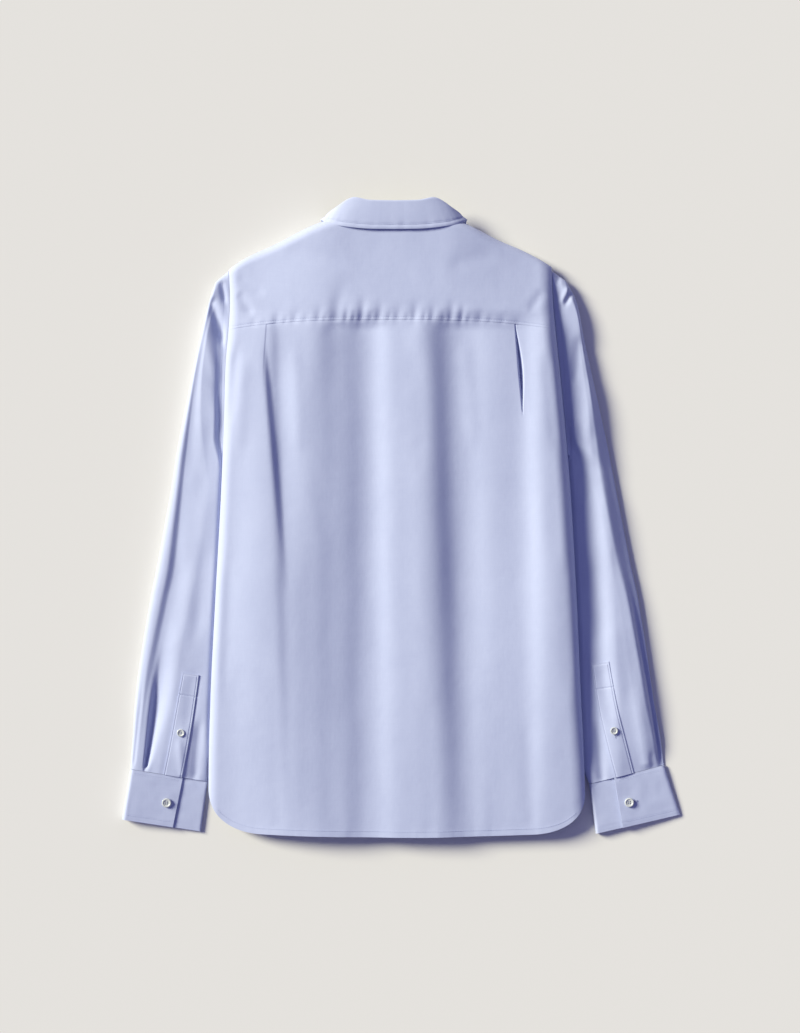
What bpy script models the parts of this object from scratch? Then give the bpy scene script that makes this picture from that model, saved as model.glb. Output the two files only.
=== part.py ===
"""A plain casual shirt that lies face down, buttoned, with its sleeves beside it.

Units in the tables are millimetres; +X is the wearer's right arm's side as the
back is seen, +Y runs from the hem to the collar and +Z is up from the surface.
"""
import math

import bpy
import numpy as np
from mathutils import Vector

MM = 0.001

# Cloth and seams
WALL = 1.2              # body cloth, seam allowances included
STIFF_WALL = 1.8        # interlined cuffs and collar
SEAM_GAP = 0.3          # between two pieces at a seam
ARMHOLE_GAP = 0.7       # the same, between two curved edges
LAY_GAP = 0.4           # between a strip and the panel that it lies on

# Body
CENTRE_X = -8.0         # the button line
SIDE_ROLL = 16.0        # how far the rolled side edge reaches inwards
HEM_CORNER = 66.0       # width of a rounded hem corner
HEM_CORNER_DROP = (54.0, 48.0)
HEM_BOW = 6.0
FRONT_HEM_RISE = 8.0    # the front hem is this much shorter
YOKE_SEAM_Y = 224.5
YOKE_SEAM_BOW = 11.5
UNDERARM_Y = 73.0
SHOULDER_Y = 293.0
FRONT_YOKE_DROP = 35.0  # the yoke's front seam, forward of the shoulder line
SHOULDER_NOSE = 12.0    # roll of the shoulder line, in plan

# Neck and front
NECK_X = -9.0
NECK_HALF = 78.0
PLACKET_WIDTH = 32.0
PLACKET_SHIFT = 0.5
FRONT_OVERLAP = 14.0
FRONT_BUTTONS = 6
FRONT_BUTTON_TOP_Y = 232.0
FRONT_BUTTON_PITCH = 92.0
COLLAR_BUTTON_Y = 291.0

# Buttons
BUTTON_R = 5.6
CUFF_BUTTON_R = 5.6
SMALL_BUTTON_R = 4.6
BUTTON_THICK = 2.4

# How finely the cloth is faceted
BACK_COLUMNS = 36
BACK_ROWS = 13
YOKE_COLUMNS = 22
FRONT_COLUMNS = 13
FRONT_ROWS = 13
ROLL_STEPS = 4

LEFT, RIGHT = 0, 1
SIDES = ("left", "right")


class Table:
    """Rows with named columns, read at any station by a smooth curve through them."""

    def __init__(self, names, *rows):
        values = np.array(rows, dtype=float)
        self.keys = values[:, 0]
        self.columns = dict(zip(names.split(), values.T))
        self.slopes = {name: np.gradient(c, self.keys) for name, c in self.columns.items()}

    def at(self, name, station):
        keys, column, slopes = self.keys, self.columns[name], self.slopes[name]
        x = min(max(station, keys[0]), keys[-1])
        i = min(int(np.searchsorted(keys, x, side="right")) - 1, len(keys) - 2)
        span = keys[i + 1] - keys[i]
        t = (x - keys[i]) / span
        rise = (2 * t**3 - 3 * t**2 + 1) * column[i] + (3 * t**2 - 2 * t**3) * column[i + 1]
        lean = (t**3 - 2 * t**2 + t) * slopes[i] + (t**3 - t**2) * slopes[i + 1]
        return float(rise + span * lean)


# The plan outline of the body, from hem to shoulder tip.
BODY = Table(
    "y left right",
    (-330, -231.0, 219.5),
    (-293, -230.6, 218.3),
    (-221, -228.6, 214.6),
    (-101, -222.6, 209.3),
    (60, -214.2, 199.5),
    (134, -211.8, 193.0),
    (182, -210.2, 188.2),
    (227, -206.4, 183.4),
    (252, -205.0, 181.2),
    (293, -206.5, 179.6),
)

# Heights of the back above the surface, and of the seams along its sides.
HEIGHT = Table(
    "y left mid right seam_left seam_right",
    (-383, 9.5, 24.0, 20.0, 4.6, 9.0),
    (-300, 17.5, 27.5, 25.0, 9.6, 12.0),
    (-200, 24.0, 30.5, 28.5, 12.5, 14.0),
    (0, 27.0, 32.5, 30.5, 14.0, 15.0),
    (150, 27.0, 33.5, 30.5, 14.5, 15.0),
    (232, 25.0, 33.0, 28.0, 14.5, 15.0),
    (300, 17.5, 30.0, 19.0, 11.0, 11.5),
    (360, 15.0, 30.0, 15.0, 9.0, 9.0),
)

# How the front rides over the sleeve that is tucked beneath it.
TUCK = Table(
    "y reach lift",
    (-383, 0, 0.8),
    (-330, 0, 2.4),
    (-300, 8, 6.8),
    (-274, 24, 8.6),
    (-240, 34, 9.4),
    (-192, 44, 9.8),
    (-120, 52, 10.0),
    (-20, 60, 10.0),
    (30, 52, 10.0),
    (66, 18, 10.0),
    (95, 2, 6.0),
    (130, 0, 2.6),
    (293, 0, 2.6),
)
TUCK_RAMP = 38.0
FLOOR_REST = 0.0

# The flanks of the back's long soft folds, from left to right: where each rises or falls
# (place at the yoke seam and at the hem), how wide it is, and by how much at the seam,
# half way down and at the hem.
FLANKS = (
    {"x": (-174.0, -178.0), "wide": 17.0, "rise": (2.0, 1.6, 0.6)},
    {"x": (-153.0, -140.0), "wide": 12.0, "rise": (-1.5, -1.6, -0.8)},
    {"x": (-114.0, -114.0), "wide": 14.0, "rise": (1.3, 1.0, 0.4)},
    {"x": (-71.0, -70.0), "wide": 24.0, "rise": (-4.0, -4.2, -3.0)},
    {"x": (-11.0, -7.0), "wide": 24.0, "rise": (4.0, 4.2, 3.2)},
    {"x": (40.0, 66.0), "wide": 13.0, "rise": (-4.5, -4.2, -3.0)},
    {"x": (108.0, 124.0), "wide": 24.0, "rise": (2.6, 2.6, 1.6)},
    {"x": (126.0, 132.0), "wide": 10.0, "rise": (-0.8, -0.9, -0.4)},
    {"x": (161.0, 172.0), "wide": 14.0, "rise": (1.2, 1.4, 0.8)},
)

# The two pleats let into the yoke seam: place across, length, drop beside the folded edge.
PLEATS = (
    {"across": 0.1154, "length": 150.0, "drop": 1.8, "reach": 20.0},
    {"across": 0.8756, "length": 108.0, "drop": 2.6, "reach": 12.0},
)
PLEAT_EDGE = 1.4        # width of the drop itself

# The shoulder line in plan, from the left tip across the neck to the right tip.
SHOULDER = Table(
    "x y",
    (-207, 294.5),
    (-190, 306.0),
    (-150, 325.0),
    (-110, 345.0),
    (-90, 352.5),
    (-9, 357.0),
    (70, 351.5),
    (94, 340.5),
    (118, 328.5),
    (143, 318.0),
    (167, 305.5),
    (180, 297.5),
)

# The collar, from the middle of the back (0) round to the middle of the front (1):
# the neck seam, the fold line and the edge of the fall, each out from the middle.
COLLAR = Table(
    "turn neck_x neck_y neck_z fold_x fold_y fold_z edge_x edge_y edge_z",
    (0.00, 0, 348.0, 30.5, 0, 375.5, 31.0, 0, 342.0, 33.4),
    (0.12, 27, 348.0, 30.0, 29, 376.5, 30.6, 34, 342.5, 33.0),
    (0.24, 52, 347.0, 28.0, 50, 379.5, 28.2, 63, 346.0, 31.0),
    (0.36, 69, 343.5, 22.6, 68, 368.0, 23.4, 81, 352.5, 24.4),
    (0.48, 74, 336.0, 14.6, 80, 357.0, 15.2, 89, 356.5, 12.0),
    (0.54, 73, 329.0, 11.0, 79, 353.0, 11.0, 89, 354.0, 2.6),
    (0.60, 71, 321.0, 8.0, 77, 346.0, 7.0, 87, 337.0, 0.6),
    (0.72, 58, 300.0, 5.2, 61, 327.0, 6.4, 77, 300.0, 0.6),
    (0.86, 33, 283.0, 4.8, 35, 312.0, 6.0, 66, 277.0, 0.6),
    (1.00, 0.2, 277.0, 4.8, 7, 305.0, 5.8, 50, 260.0, 0.6),
)


def smooth(t):
    t = min(max(t, 0.0), 1.0)
    return t * t * (3 - 2 * t)


def mix(a, b, t):
    return a + (b - a) * t


def hem_y(w, rise=0.0):
    """The hem's line at a share w of the way across, with its two rounded corners."""
    width = BODY.at("right", -330) - BODY.at("left", -330)
    low = -330.0 + 7.0 * (1 - w)
    drop_left, drop_right = HEM_CORNER_DROP
    left = 1 - min(w * width / HEM_CORNER, 1.0)
    right = 1 - min((1 - w) * width / HEM_CORNER, 1.0)
    y = low - mix(drop_left, drop_right, w) - HEM_BOW * math.sin(math.pi * w)
    y += drop_left * (1 - (1 - left**2.3) ** (1 / 2.3))
    y += drop_right * (1 - (1 - right**2.3) ** (1 / 2.3))
    return y + rise


def seam_y(w):
    return YOKE_SEAM_Y + YOKE_SEAM_BOW * (1 - abs(2 * w - 1) ** 3)


def fold_rise(x, y):
    """How far the soft folds lift or lower the back at a point."""
    down = min(max((235.0 - y) / 615.0, 0.0), 1.0)
    ease = smooth((266.0 - y) / 44.0)
    rise = 0.0
    for flank in FLANKS:
        top, middle, hem = flank["rise"]
        size = mix(top, middle, 2 * down) if down < 0.5 else mix(middle, hem, 2 * down - 1)
        off = (x - mix(*flank["x"], down)) / (0.6 * flank["wide"])
        rise += 0.5 * size * (1 + math.tanh(off)) * ease
    return rise


def pleat_dip(w, y):
    """The drop beside each pleat's folded edge, fading away from the yoke seam."""
    dip = 0.0
    width = BODY.at("right", y) - BODY.at("left", y)
    for pleat in PLEATS:
        off = (w - pleat["across"]) * width
        below = (seam_y(w) - y) / pleat["length"]
        if -0.05 < below < 1.0 and 0 < off < pleat["reach"]:
            fade = 1 - smooth(below)
            recover = 1 - smooth((off - PLEAT_EDGE) / (pleat["reach"] - PLEAT_EDGE))
            dip += pleat["drop"] * fade * smooth(off / PLEAT_EDGE) * recover
    return dip


def top_height(x, y):
    """Height of the outer face of the back and yoke, away from their rolled edges."""
    left, right = BODY.at("left", y), BODY.at("right", y)
    w = (x - left) / (right - left)
    middle = HEIGHT.at("mid", y)
    z = mix(HEIGHT.at("left", y), middle, smooth(w / 0.34))
    z = mix(z, HEIGHT.at("right", y), smooth((w - 0.66) / 0.34))
    return z + fold_rise(x, y)


def side_height(side, y):
    return HEIGHT.at("seam_" + SIDES[side], y)


def edge_distance(side, x, y):
    return x - BODY.at("left", y) if side == LEFT else BODY.at("right", y) - x


def rolled(near, far, share):
    """A quarter of an ellipse from the seam's height (share 0) to the panel's (share 1)."""
    share = min(max(share, 0.0), 1.0)
    return near + (far - near) * math.sqrt(1 - (1 - share) ** 2)


def back_point(w, y):
    left, right = BODY.at("left", y), BODY.at("right", y)
    x = left + (right - left) * w
    side = LEFT if w < 0.5 else RIGHT
    out = edge_distance(side, x, y)
    top = top_height(x, y) - pleat_dip(w, y)
    return Vector((x, y, rolled(side_height(side, y), top, out / SIDE_ROLL)))


def roll_shares(columns):
    """Shares across the body: close together on each rolled edge, even between."""
    width = BODY.at("right", 0) - BODY.at("left", 0)
    roll = SIDE_ROLL / width
    ends = [roll * (1 - math.cos(0.5 * math.pi * i / ROLL_STEPS)) for i in range(ROLL_STEPS)]
    inner = columns - 2 * ROLL_STEPS
    middle = [roll + (1 - 2 * roll) * i / inner for i in range(inner + 1)]
    return ends + middle + [1 - e for e in reversed(ends)]


# ---------------------------------------------------------------- making meshes

def material(name, colour, roughness, sheen=0.0):
    made = bpy.data.materials.new(name)
    made.use_nodes = True
    shader = made.node_tree.nodes["Principled BSDF"]
    shader.inputs["Base Color"].default_value = (*colour, 1.0)
    shader.inputs["Roughness"].default_value = roughness
    shader.inputs["Metallic"].default_value = 0.0
    shader.inputs["Sheen Weight"].default_value = sheen
    return made


def add_object(name, points, faces, look):
    mesh = bpy.data.meshes.new(name)
    mesh.from_pydata([tuple(p * MM) for p in points], [], faces)
    mesh.materials.append(look)
    mesh.shade_smooth()
    mesh.set_sharp_from_angle(angle=math.radians(50))
    thing = bpy.data.objects.new(name, mesh)
    bpy.context.collection.objects.link(thing)
    return thing


def grid_normals(grid):
    """Unit normals of a grid of points, by its two directions at each point."""
    rows, columns = len(grid), len(grid[0])
    normals = []
    for i in range(rows):
        line = []
        for j in range(columns):
            up, down = grid[min(i + 1, rows - 1)][j], grid[max(i - 1, 0)][j]
            after, before = grid[i][min(j + 1, columns - 1)], grid[i][max(j - 1, 0)]
            line.append((after - before).cross(up - down).normalized())
        normals.append(line)
    return normals


def moved(grid, distance, level_sides=()):
    """The grid moved along its normals, which lie level along a rolled side seam."""
    normals = grid_normals(grid)
    for line in normals:
        for j in level_sides:
            line[j] = Vector((line[j].x, line[j].y, 0.0)).normalized()
    return [[p + n * distance for p, n in zip(line, side)] for line, side in zip(grid, normals)]


def shell(name, grid, wall, look, ring=False, level_sides=(), inner=None):
    """A cloth wall: the grid is its outer face, and the inner one is a wall further in."""
    rows, columns = len(grid), len(grid[0])
    inner = inner or moved(grid, -wall, level_sides)
    points = [p for line in grid for p in line] + [p for line in inner for p in line]
    half = rows * columns
    faces = []
    spans = columns if ring else columns - 1
    for i in range(rows - 1):
        for j in range(spans):
            k = (j + 1) % columns
            a, b = i * columns + j, i * columns + k
            c, d = (i + 1) * columns + k, (i + 1) * columns + j
            faces.append((a, b, c, d))
            faces.append((half + d, half + c, half + b, half + a))
    for j in range(spans):
        k = (j + 1) % columns
        top = (rows - 1) * columns
        faces.append((k, j, half + j, half + k))
        faces.append((top + j, top + k, half + top + k, half + top + j))
    if not ring:
        for i in range(rows - 1):
            a, b = i * columns, (i + 1) * columns
            faces.append((a, b, half + b, half + a))
            a, b = a + columns - 1, b + columns - 1
            faces.append((b, a, half + a, half + b))
    return add_object(name, points, faces, look)


def at_grid(grid, i, j):
    """A point of a grid at a fractional row and column."""
    r = min(int(i), len(grid) - 2)
    c = min(int(j), len(grid[0]) - 2)
    fi, fj = i - r, j - c
    near = grid[r][c].lerp(grid[r][c + 1], fj)
    far = grid[r + 1][c].lerp(grid[r + 1][c + 1], fj)
    return near.lerp(far, fi)


# ---------------------------------------------------------------- the body

def clear_scene():
    for thing in list(bpy.data.objects):
        bpy.data.objects.remove(thing, do_unlink=True)


def back_shares():
    """Columns across the back, with two at each pleat's edge."""
    width = BODY.at("right", 0) - BODY.at("left", 0)
    edges = []
    for pleat in PLEATS:
        edges += [pleat["across"], pleat["across"] + PLEAT_EDGE / width]
    keep = [w for w in roll_shares(BACK_COLUMNS) if all(abs(w - e) > 0.008 for e in edges)]
    return sorted(keep + edges)


def back_grid():
    shares = back_shares()
    grid = []
    for i in range(BACK_ROWS + 1):
        up = i / BACK_ROWS
        line = []
        for w in shares:
            y = mix(hem_y(w), seam_y(w) - SEAM_GAP / 2, up)
            line.append(back_point(w, y))
        grid.append(line)
    return grid


def front_under(x, y):
    """Height of the front's outer face, which is the underside of the laid shirt."""
    side = LEFT if x < CENTRE_X else RIGHT
    out = edge_distance(side, x, y)
    reach, lift = TUCK.at("reach", y), TUCK.at("lift", y)
    ride = lift * (1 - smooth((out - reach - 5.0) / TUCK_RAMP))
    off = abs(x - NECK_X)
    neck = 4.4 * smooth((112.0 - off) / 18.0) * smooth((y - 205.0) / 26.0)
    return max(FLOOR_REST, ride, neck)


def hump(off, height, flat, foot):
    return height * (1 - smooth((abs(off) - flat) / (foot - flat)))


def front_height(side, x, y):
    """The same with the buttoned edges lifted over the placket and its buttons."""
    off = x - CENTRE_X
    lower = BUTTON_THICK + LAY_GAP + WALL + LAY_GAP
    if side == RIGHT:
        lift = hump(off, lower + WALL + LAY_GAP, 19.0, 54.0)
    else:
        lift = hump(off, lower, 18.0, 50.0)
    neck = front_under(x, y)
    if side == RIGHT and off < 19.0 and neck > 0:
        neck += WALL + LAY_GAP
    return max(lift, neck)


def front_top(x):
    """The front's upper edge: its seam to the yoke, then the neckline."""
    off = abs(x - NECK_X)
    seam = SHOULDER.at("y", x) - FRONT_YOKE_DROP
    if off >= NECK_HALF:
        return seam - SEAM_GAP
    turns = [0.60 + 0.4 * k / 24 for k in range(25)]
    offs = [-COLLAR.at("neck_x", t) for t in turns]
    ys = [COLLAR.at("neck_y", t) for t in turns]
    return float(np.interp(-off, offs, ys)) - SEAM_GAP - 1.0


def front_grid(side):
    """Columns from the wearer's right to left, so that the outer face looks down."""
    sign = -1 if side == LEFT else 1
    width = abs((BODY.at(SIDES[side], 0)) - CENTRE_X) + FRONT_OVERLAP
    roll = SIDE_ROLL / width
    shares = [roll * (1 - math.cos(0.5 * math.pi * i / ROLL_STEPS)) for i in range(ROLL_STEPS)]
    shares += [mix(roll, 1.0, i / FRONT_COLUMNS) for i in range(FRONT_COLUMNS + 1)]
    inner_edge = CENTRE_X - sign * FRONT_OVERLAP
    rows = []
    for i in range(FRONT_ROWS + 1):
        up = i / FRONT_ROWS
        line = []
        for s in shares:
            x0 = mix(BODY.at(SIDES[side], 200), inner_edge, s)
            across = (mix(BODY.at(SIDES[side], -330), inner_edge, s) - BODY.at("left", -330))
            w = across / (BODY.at("right", -330) - BODY.at("left", -330))
            top = min(front_top(x0), front_top(mix(BODY.at(SIDES[side], 262), inner_edge, s)))
            y = mix(hem_y(w, FRONT_HEM_RISE * (1 - abs(2 * w - 1) ** 6)), top, up)
            x = mix(BODY.at(SIDES[side], y), inner_edge, s)
            out = edge_distance(side, x, y)
            seam = side_height(side, y) - SEAM_GAP
            seam = mix(seam, min(seam, 5.0), smooth((y - UNDERARM_Y) / 45.0))
            z = rolled(seam, front_height(side, x, y), out / SIDE_ROLL)
            line.append(Vector((x, y, z)))
        rows.append(line)
    if side == LEFT:
        rows = [list(reversed(line)) for line in rows]
    return rows


def yoke_grid():
    """From the back seam up over the shoulders to the front seam, with the neck cut out."""
    left, right = BODY.at("left", SHOULDER_Y), BODY.at("right", SHOULDER_Y)
    width = right - left
    shares = set(roll_shares(YOKE_COLUMNS))
    cuts = []
    for off in (NECK_HALF - 1.0, NECK_HALF + 4.0):
        cuts += [(NECK_X - off - left) / width, (NECK_X + off - left) / width]
    keep = [w for w in shares if all(abs(w - c) > 0.012 for c in cuts)]
    shares = sorted(keep + cuts)
    columns = []
    steps_top, steps_nose, steps_under = 5, 6, 2
    for w in shares:
        line = []
        x_top = left + width * w
        fold = SHOULDER.at("y", x_top)
        off = abs(x_top - NECK_X)
        pivot = fold - SHOULDER_NOSE

        def place(y, z):
            line_x = mix(BODY.at("left", y), BODY.at("right", y), w)
            line.append(Vector((line_x, y, z)))

        def face(y):
            side = LEFT if w < 0.5 else RIGHT
            x = mix(BODY.at("left", y), BODY.at("right", y), w)
            out = edge_distance(side, x, y)
            roll = out / SIDE_ROLL
            edge_low = min(side_height(side, y) - SEAM_GAP, 5.0)
            top = rolled(side_height(side, y), top_height(x, y), roll)
            under = rolled(edge_low, front_under(x, y), roll)
            return top, under

        start = seam_y(w) + SEAM_GAP / 2
        if off < NECK_HALF:
            turns = [0.48 * k / 24 for k in range(25)]
            offs = [COLLAR.at("neck_x", t) for t in turns]
            neck_ys = [COLLAR.at("neck_y", t) for t in turns]
            stop = float(np.interp(off, offs, neck_ys)) - SEAM_GAP - 0.8
            turn = min(pivot, stop - 2.0)
            rest = steps_nose + steps_under
            ys = [mix(start, turn, k / steps_top) for k in range(steps_top)]
            ys += [mix(turn, stop, k / rest) for k in range(rest + 1)]
            for y in ys:
                top, under = face(min(y, pivot))
                if y <= pivot:
                    place(y, top)
                else:
                    rise = math.sqrt(1 - ((y - pivot) / SHOULDER_NOSE) ** 2)
                    place(y, 0.5 * (top + under) + 0.5 * (top - under) * rise)
        else:
            for k in range(steps_top):
                y = mix(start, pivot, k / steps_top)
                place(y, face(y)[0])
            top, under = face(pivot)
            for k in range(steps_nose + 1):
                angle = math.pi * (0.5 - k / steps_nose)
                z = 0.5 * (top + under) + 0.5 * (top - under) * math.sin(angle)
                place(pivot + SHOULDER_NOSE * math.cos(angle), z)
            for k in range(1, steps_under + 1):
                y = mix(pivot, fold - FRONT_YOKE_DROP + SEAM_GAP / 2, k / steps_under)
                place(y, face(y)[1])
        columns.append(line)
    return [[c[i] for c in columns] for i in range(len(columns[0]))]


# ---------------------------------------------------------------- sleeves and cuffs

# Rings down each sleeve, from just past the armhole (1) to the cuff (12): the fold at
# its outer edge, the fold that is tucked under the body, and the heights of both.
SLEEVES = (
    Table(
        "ring outer_x outer_y inner_x inner_y hook puff inner_top inner_low",
        (1, -222.5, 280, -217.5, 67, 4.0, 13.5, 15.5, 11.0),
        (2, -231.0, 254, -219.0, 60, 7.0, 15.0, 14.5, 9.5),
        (3, -243.0, 204, -219.5, 51, 8.0, 16.5, 13.0, 7.0),
        (4, -257.0, 136, -218.4, 40, 6.0, 17.5, 9.2, 3.5),
        (5, -268.0, 80, -200.0, 19, 0.0, 18.0, 8.2, 0.4),
        (6, -276.6, 26, -160.0, 8, 0.0, 18.0, 8.6, 0.0),
        (7, -291.0, -53, -167.0, -72, 0.0, 18.0, 8.6, 0.0),
        (8, -300.6, -101, -176.0, -120, 0.0, 17.0, 8.6, 0.0),
        (9, -312.6, -173, -190.0, -192, 0.0, 15.5, 8.4, 0.0),
        (10, -318.6, -221, -203.0, -240, 0.0, 13.5, 8.0, 0.0),
        (11, -321.5, -262, -217.0, -279, 0.0, 11.0, 7.0, 0.0),
        (12, -324.6, -302.6, -232.0, -318.2, 0.0, 8.2, 5.8, 0.0),
    ),
    Table(
        "ring outer_x outer_y inner_x inner_y hook puff inner_top inner_low",
        (1, 197.0, 281, 202.2, 67, 4.0, 13.5, 15.5, 11.0),
        (2, 210.4, 254, 203.6, 60, 7.0, 15.0, 14.5, 9.5),
        (3, 220.5, 204, 204.3, 51, 8.0, 16.5, 13.0, 7.0),
        (4, 235.5, 136, 203.6, 40, 6.0, 17.5, 9.2, 3.5),
        (5, 247.5, 80, 186.0, 19, 0.0, 18.0, 8.2, 0.4),
        (6, 258.0, 26, 148.0, 8, 0.0, 18.0, 8.6, 0.0),
        (7, 273.5, -53, 153.0, -72, 0.0, 18.0, 8.6, 0.0),
        (8, 283.8, -101, 161.0, -120, 0.0, 17.0, 8.6, 0.0),
        (9, 295.4, -173, 176.0, -191, 0.0, 15.5, 8.4, 0.0),
        (10, 302.2, -221, 190.0, -239, 0.0, 13.5, 8.0, 0.0),
        (11, 309.8, -262, 206.5, -281, 0.0, 11.0, 7.0, 0.0),
        (12, 314.8, -298.2, 224.8, -320.6, 0.0, 8.2, 5.8, 0.0),
    ),
)
RINGS = 12
CUFF_FOOT = (((-334.4, -362.9), (-240.4, -378.1)), ((334.1, -357.8), (232.8, -380.3)))
CUFF_TOP_Z = 8.2
CUFF_ENDS = ((0.677, 0.645), (0.669, 0.682))    # the overlap's edge, at the sleeve and foot
UNDERLAP_END = 0.45
SLEEVE_END_ROLL = 8.5
GAUNTLETS = (
    # top ring, then the stitched and free edges at the top and at the cuff
    {"ring": 9.1, "top": (0.427, 0.585), "foot": (0.428, 0.668)},
    {"ring": 8.9, "top": (0.392, 0.56), "foot": (0.410, 0.660)},
)
GAUNTLET_WALL = 1.0
GAUNTLET_GAP = 0.75
VALLEY = 13.5           # sleeve height close beside the body, above the underarm

ARMHOLE_SWELL = 1.6     # how a sleeve stands open at the two ends of its armhole
HOOK_REACH = 14.0       # where a ring sweeps out before it turns in to its tucked fold

OUTER_ARC = (0.0, 0.10, 0.35, 1.0)      # shares of a roll, at each end of a ring
OUTSIDE_STEPS = 4
DIP_WIDTH = 11.0        # how quickly a sleeve dips to pass under the body


def ring_length(side, ring):
    """How wide a sleeve lies at a ring."""
    table = SLEEVES[side]
    if ring < 0.5:
        return SHOULDER_Y - UNDERARM_Y
    across = table.at("outer_x", ring) - table.at("inner_x", ring)
    return math.hypot(across, table.at("outer_y", ring) - table.at("inner_y", ring))


def chord_shares(side, ring):
    """Stations across a sleeve from its outer fold (0) to its tucked fold (1).

    Two of them mark where the sleeve dips under the body's edge.
    """
    length = ring_length(side, ring)
    roll = min(SLEEVE_END_ROLL / length, 0.2)
    dip = 0.82
    if ring > 0.5:
        outer, inner = (SLEEVES[side].at(part, ring) for part in ("outer_x", "inner_x"))
        y = mix(*(SLEEVES[side].at(part, ring) for part in ("outer_y", "inner_y")), 0.6)
        crossing = (BODY.at(SIDES[side], y) - outer) / (inner - outer)
        dip = crossing if 0.3 < crossing < dip else dip
    rise = max(dip - DIP_WIDTH / length, 0.4 * dip)
    ends = [roll * s for s in OUTER_ARC]
    outside = [mix(roll, rise, k / OUTSIDE_STEPS) for k in range(1, OUTSIDE_STEPS + 1)]
    beneath = [mix(dip, 1 - roll, k / 2) for k in range(2)]
    return ends + outside + beneath + [1 - e for e in reversed(ends)]


def sleeve_place(side, ring, t):
    """Plan position on a sleeve; ring 0 follows the armhole."""
    table = SLEEVES[side]
    if ring < 0.5:
        y = mix(SHOULDER_Y, UNDERARM_Y, t)
        out = -ARMHOLE_GAP if side == LEFT else ARMHOLE_GAP
        return BODY.at(SIDES[side], y) + out, y
    x = mix(table.at("outer_x", ring), table.at("inner_x", ring), t)
    back = (1 - t) * ring_length(side, ring) / HOOK_REACH
    sweep = table.at("hook", ring) * back * math.exp(1 - back)
    x += -sweep if side == LEFT else sweep
    return x, mix(table.at("outer_y", ring), table.at("inner_y", ring), t)


def front_armhole_height(side, y):
    seam = side_height(side, y) - SEAM_GAP
    return mix(seam, min(seam, 5.0), smooth((y - UNDERARM_Y) / 45.0))


def sleeve_heights(side, ring, t, x, y, length):
    """Heights of a sleeve's outer face, top and underside, at a place across it."""
    roll = min(SLEEVE_END_ROLL / length, 0.2)
    near = min(t, 1 - t) / roll
    round_off = math.sqrt(1 - (1 - min(near, 1.0)) ** 2)
    if ring < 0.5:
        swell = ARMHOLE_SWELL * (1 - smooth(min(t, 1 - t) / 0.12))
        top = side_height(side, y) + 0.7 + swell
        low = front_armhole_height(side, y) - 0.7 - swell
    else:
        table = SLEEVES[side]
        clear = -edge_distance(side, x, y)
        puff = table.at("puff", ring)
        shut = mix(table.at("inner_top", ring), VALLEY, smooth((y - 95.0) / 40.0))
        top = mix(min(shut, puff), puff, smooth((clear - 1.0) / (DIP_WIDTH - 2.0)))
        flat = mix(2.6, 0.0, smooth((ring - 1) / 2))
        low = mix(table.at("inner_low", ring), flat, smooth((1 - t) * length / 45.0))
    middle = mix(low, top, 0.5)
    return mix(middle, top, round_off), mix(middle, low, round_off)


def sleeve_ring(side, ring):
    length = ring_length(side, ring)
    tops, lows = [], []
    for t in chord_shares(side, ring):
        x, y = sleeve_place(side, ring, t)
        top, low = sleeve_heights(side, ring, t, x, y, length)
        tops.append(Vector((x, y, top)))
        lows.append(Vector((x, y, low)))
    # the two ends are shared by top and underside
    if side == LEFT:
        return list(reversed(tops)) + lows[1:-1]
    return tops + list(reversed(lows[1:-1]))


def sleeve_grid(side):
    return [sleeve_ring(side, ring) for ring in range(RINGS + 1)]


def ring_normals(grid):
    """Unit normals of a grid of closed rings, averaged over the faces that meet at a point."""
    points = np.array([[tuple(p) for p in ring] for ring in grid])
    after = np.roll(points, -1, axis=1)
    faces = np.cross(after[1:] - points[:-1], points[1:] - after[:-1])
    faces = faces + np.roll(faces, 1, axis=1)
    total = np.zeros_like(points)
    total[:-1] += faces
    total[1:] += faces
    return total / np.linalg.norm(total, axis=2, keepdims=True)


def sleeve_lining(grid, wall):
    """The inner face of a sleeve: a wall further in."""
    normals = ring_normals(grid)
    return [[p - Vector(n) * wall for p, n in zip(ring, line)] for ring, line in zip(grid, normals)]


def sleeve_column(side, ring, t):
    """The fractional column of a sleeve's grid, on its top, at a share across it."""
    shares = chord_shares(side, ring)
    column = float(np.interp(t, shares, range(len(shares))))
    return len(shares) - 1 - column if side == LEFT else column


def gauntlet_grid(side, grid):
    plan = GAUNTLETS[side]
    rings = [plan["ring"]] + list(range(int(plan["ring"]) + 1, RINGS + 1))
    rows = []
    for ring in rings:
        down = (ring - plan["ring"]) / (RINGS - plan["ring"])
        start = mix(plan["top"][0], plan["foot"][0], down)
        stop = mix(plan["top"][1], plan["foot"][1], down)
        columns = [sleeve_column(side, ring, mix(start, stop, k / 3)) for k in range(4)]
        rows.append([at_grid(grid, ring, c) for c in sorted(columns)])
    return moved(rows, GAUNTLET_GAP + GAUNTLET_WALL)


def cuff_corner(side, t, down):
    """Plan position on a cuff, down from its seam to its foot."""
    table = SLEEVES[side]
    outer = Vector((table.at("outer_x", RINGS), table.at("outer_y", RINGS)))
    inner = Vector((table.at("inner_x", RINGS), table.at("inner_y", RINGS)))
    foot_outer, foot_inner = (Vector(p) for p in CUFF_FOOT[side])
    head = outer.lerp(inner, t)
    foot = foot_outer.lerp(foot_inner, t)
    start = (SEAM_GAP + 0.3) / (foot - head).length
    return head.lerp(foot, mix(start, 1.0, down))


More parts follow.
